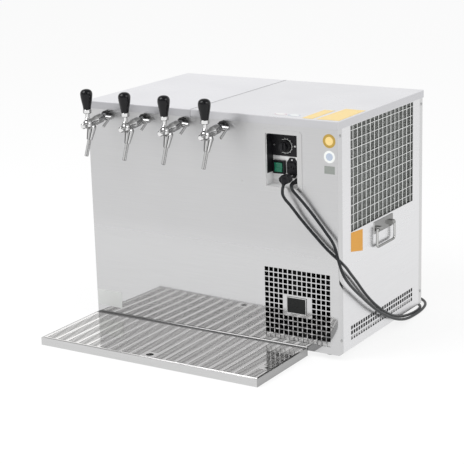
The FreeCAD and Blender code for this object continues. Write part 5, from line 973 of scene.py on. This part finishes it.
# %% [markdown]
# ## Black grips
# Each lever ends in a glossy black grip, narrow at its foot and swelling to a round crown. The
# profile is a smooth line near a few measured radii, and turned about the lever's axis it gives
# highlights without a facet.

# %% Grips
GRIP = np.array([(0.0100, 0.0), (0.0101, 0.002), (0.0109, 0.008), (0.0125, 0.0154), (0.0141, 0.0235),
                 (0.0151, 0.030), (0.0158, 0.0372), (0.0155, 0.0415), (0.0141, 0.0450), (0.0112, 0.0482),
                 (0.0066, 0.0502), (0.0028, 0.0508), (0.0001, 0.0509)])
knots = np.concatenate([[0], np.cumsum(np.linalg.norm(np.diff(GRIP, axis=0), axis=1))])
GRIP_SAMPLES, GRIP_SIDES, PASSES = 56, 64, 3
fine = np.linspace(0, knots[-1], GRIP_SAMPLES)
# a smooth line near the radii: passes of a short running mean over dense straight runs
smooth_grip = np.stack([np.interp(fine, knots, GRIP[:, 0]), np.interp(fine, knots, GRIP[:, 1])], -1)
for _ in range(PASSES):
    smooth_grip[1:-1] = (smooth_grip[:-2] + 2 * smooth_grip[1:-1] + smooth_grip[2:]) / 4
TAPS_X = (-0.305, -0.186, -0.067, 0.052)
PIVOT_Y, PIVOT_Z, GRIP_FOOT = -0.2125, 0.556766, 0.0396
for number, x in enumerate(TAPS_X, start=1):
    shape = turned(smooth_grip, GRIP_SIDES, (x, PIVOT_Y, PIVOT_Z + GRIP_FOOT))
    grip = piece("black_grip_%d" % number, [shape], grip_plastic, "lever_%d" % number)
    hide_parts("grip_%d" % number)
print("grips", len(TAPS_X), "each", round(GRIP[-1, 1], 4), "high")

# %% [markdown]
# ## Stickers
# The panels carry a few stickers, shown here blank. Each is a flat outline thickened by about a
# tenth of a millimetre and laid on the sheet behind it, so it has a real edge, and no face of it
# lies in the sheet's own plane, where the renderer couldn't tell which is in front.

# %% Flat marks
THIN, LABEL = 0.00008, 0.00012


def slab(outline, way, name, material, thickness=LABEL):
    """A flat outline of points thickened outwards along one of the axes."""
    outline = np.asarray(outline, float)
    way = np.asarray(way, float)
    spokes = outline - outline.mean(axis=0)
    if np.cross(spokes, np.roll(spokes, -1, axis=0)).sum(axis=0) @ way < 0:
        outline = outline[::-1]
    count = len(outline)
    points = np.concatenate([outline, outline + way * thickness])
    low = np.arange(count)
    after = np.roll(low, -1)
    sides = np.stack([low, after, after + count, low + count], axis=-1)
    shape = (points, [low[::-1][None], (low + count)[None], sides])
    return piece(name, [shape], material, smooth=False)


def round_outline(centre, half_sizes, axes, samples=40):
    """An ellipse in the plane of two axes."""
    angle = np.linspace(0, 2 * np.pi, samples, endpoint=False)
    points = np.repeat(np.asarray(centre, float)[None], samples, axis=0)
    points[:, axes[0]] += half_sizes[0] * np.cos(angle)
    points[:, axes[1]] += half_sizes[1] * np.sin(angle)
    return points


def level_outline(low, high, axes, fixed):
    """A rectangle between two corners in the plane of two axes, at a fixed place on the third."""
    points = np.zeros((4, 3))
    points[:, axes[0]] = (low[0], high[0], high[0], low[0])
    points[:, axes[1]] = (low[1], low[1], high[1], high[1])
    points[:, 3 - sum(axes)] = fixed
    return points


FORWARD, RIGHTWARD, UPWARD = (0, -1, 0), (1, 0, 0), (0, 0, 1)
ACROSS_FRONT, ACROSS_TOP, ACROSS_SIDE = (0, 2), (0, 1), (1, 2)
front_face = front_y - THIN
side_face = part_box("right_side_panel")[1][0] + THIN
lid_face = lid_top + THIN
print("label planes", front_face, side_face, lid_face)

# %% Stickers on the front and the side
slab([(side_face, -0.0631, 0.3128), (side_face, 0.0004, 0.3076), (side_face, -0.0001, 0.2517),
      (side_face, -0.0638, 0.2645)], RIGHTWARD, "side_label", label_orange)
CORE_SHARE = 0.62
for name, (x, z), radius, finish, core in (
    ("gold_disc", (0.3467, 0.5513), 0.0170, label_gold, label_yellow),
    ("blue_disc", (0.3471, 0.5130), 0.0150, print_white, label_blue),
):
    slab(round_outline((x, front_face, z), (radius,) * 2, ACROSS_FRONT), FORWARD, name, finish)
    slab(round_outline((x, front_face - LABEL, z), (radius * CORE_SHARE,) * 2, ACROSS_FRONT), FORWARD,
         name + "_core", core, THIN)
slab(level_outline((0.3332, 0.4713), (0.3612, 0.4903), ACROSS_FRONT, front_face), FORWARD,
     "small_label", label_grey)
slab(level_outline((-0.3686, 0.040), (-0.2877, 0.085), ACROSS_FRONT, front_face), FORWARD,
     "rating_label", label_pale)
print("disc planes", front_face, front_face - LABEL)

# %% Stickers on the lid
slab([(0.3079, -0.1200, lid_face), (0.3109, 0.0279, lid_face), (0.3661, 0.0268, lid_face),
      (0.3685, -0.1168, lid_face)], UPWARD, "lid_label_wide", label_yellow)
slab([(0.2690, -0.1205, lid_face), (0.2690, -0.0045, lid_face), (0.2985, -0.0045, lid_face),
      (0.2985, -0.1205, lid_face)], UPWARD, "lid_label_narrow", label_yellow)
OVAL_Y, OVAL, OVAL_CORE = -0.0955, (0.0165, 0.0110), (0.0140, 0.0088)
for name, x, finish in (("lid_oval_left", 0.1970, label_pink), ("lid_oval_right", 0.2350, label_blue)):
    slab(round_outline((x, OVAL_Y, lid_face), OVAL, ACROSS_TOP), UPWARD, name, finish)
    slab(round_outline((x, OVAL_Y, lid_face + LABEL), OVAL_CORE, ACROSS_TOP), UPWARD, name + "_core",
         print_white, THIN)
print("lid stickers from", lid_face, "to", lid_face + LABEL + THIN)

# %% [markdown]
# ## Rivets and two painted shadows
# Two low rivet heads sit in the front sheet. The gap between the lids and the left wall of the
# recess look nearly black on the real cooler. Here a thin dark strip and a thin dark slab stand
# in for that shadow.

# %% Rivets, seam and recess wall
RIVET = [(0.0022, 0.0), (0.0021, 0.0003), (0.0014, 0.0006), (0.0003, 0.0007)]
RIVETS_AT = ((0.1014, 0.4298), (0.3490, 0.2946))
rivets = [turned(RIVET, 24, (x, front_face, z), FORWARD) for x, z in RIVETS_AT]
piece("front_rivets", rivets, screw_steel)
lid_low, lid_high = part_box("lid_right")
# a thin dark strip on the lid as painted shadow in the gap between the lids
SEAM_WIDTH, SEAM_END = 0.0013, 0.0005
seam = level_outline((lid_low[0], lid_low[1] + SEAM_END), (lid_low[0] + SEAM_WIDTH, lid_high[1] - SEAM_END),
                     ACROSS_TOP, lid_face)
slab(seam, UPWARD, "lid_seam", painted_seam_shadow, THIN)
RECESS_LEFT = 0.541 - HALF_WIDTH
# a thin black slab as painted shadow on the recess's left wall
wall = level_outline((-0.1222, 0.4550), (-0.0920, 0.5530), ACROSS_SIDE, RECESS_LEFT + THIN)
slab(wall, RIGHTWARD, "recess_wall_shadow", black_plastic)
print("seam from", lid_low[0], "recess wall at", RECESS_LEFT)

# %% [markdown]
# ## The dial
# The thermostat's dial is a white arc with short ticks, open on its left. The arc is a bar of
# four sides carried round part of a circle, and each tick is a small box turned to its place.

# %% Dial
DIAL_X, DIAL_Z, DIAL_GAP, DIAL_RISE = 0.2087, 0.5212, 0.0001, 0.0002
ARC_HALF, ARC_SAMPLES, ARC_RADII = 122, 61, (0.0170, 0.0179)
TICK_HALF, TICKS, TICK_RADII, TICK_WIDTH = 120, 11, (0.0182, 0.0203), 0.0004
dial_centre = np.array([DIAL_X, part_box("thermostat_plate")[0][1] - DIAL_GAP, DIAL_Z])
sweep = np.radians(np.linspace(-ARC_HALF, ARC_HALF, ARC_SAMPLES))
ray = np.stack([np.cos(sweep), np.zeros(ARC_SAMPLES), np.sin(sweep)], axis=-1)
lift = np.array([0, -DIAL_RISE, 0])
inner_ring, outer_ring = (dial_centre + radius * ray for radius in ARC_RADII)
arc = np.stack([inner_ring, inner_ring + lift, outer_ring + lift, outer_ring])
first_end = np.arange(4) * ARC_SAMPLES
marks = [(arc, [ring_faces(4, ARC_SAMPLES), np.array([first_end, first_end[::-1] + ARC_SAMPLES - 1])])]
TICK_FACES = np.array([[0, 1, 2, 3], [7, 6, 5, 4], [0, 4, 5, 1], [1, 5, 6, 2], [2, 6, 7, 3], [3, 7, 4, 0]])
for turn in np.radians(np.linspace(-TICK_HALF, TICK_HALF, TICKS)):
    way = np.array([math.cos(turn), 0, math.sin(turn)])
    across = np.array([-math.sin(turn), 0, math.cos(turn)]) * TICK_WIDTH
    near, far = (dial_centre + way * reach for reach in TICK_RADII)
    base = np.array([near - across, near + across, far + across, far - across])
    marks.append((np.concatenate([base, base + lift]), [TICK_FACES]))
piece("dial_marks", marks, print_white, smooth=False)
print("dial with", TICKS, "ticks")

# %% [markdown]
# ## The badge's frame
# The badge in the middle of the vent is blank, with a pale raised frame of four flat bars.

# %% Badge frame
badge_low, badge_high = np.array(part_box("badge_plate")[0]), np.array(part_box("badge_plate")[1])
FRAME_WIDTH, FRAME_RISE, FRAME_GAP = 0.0022, 0.0003, 0.00005
left, low, right, high = badge_low[0], badge_low[2], badge_high[0], badge_high[2]
bars = [(left, low, right, low + FRAME_WIDTH), (left, high - FRAME_WIDTH, right, high),
        (left, low + FRAME_WIDTH, left + FRAME_WIDTH, high - FRAME_WIDTH),
        (right - FRAME_WIDTH, low + FRAME_WIDTH, right, high - FRAME_WIDTH)]
frame_bars = [boxes([(x0, badge_low[1] - FRAME_RISE, z0)], [(x1, badge_low[1] - FRAME_GAP, z1)])
              for x0, z0, x1, z1 in bars]
piece("badge_frame", frame_bars, screw_steel, smooth=False)
print("badge frame", round(right - left, 4), "by", round(high - low, 4))
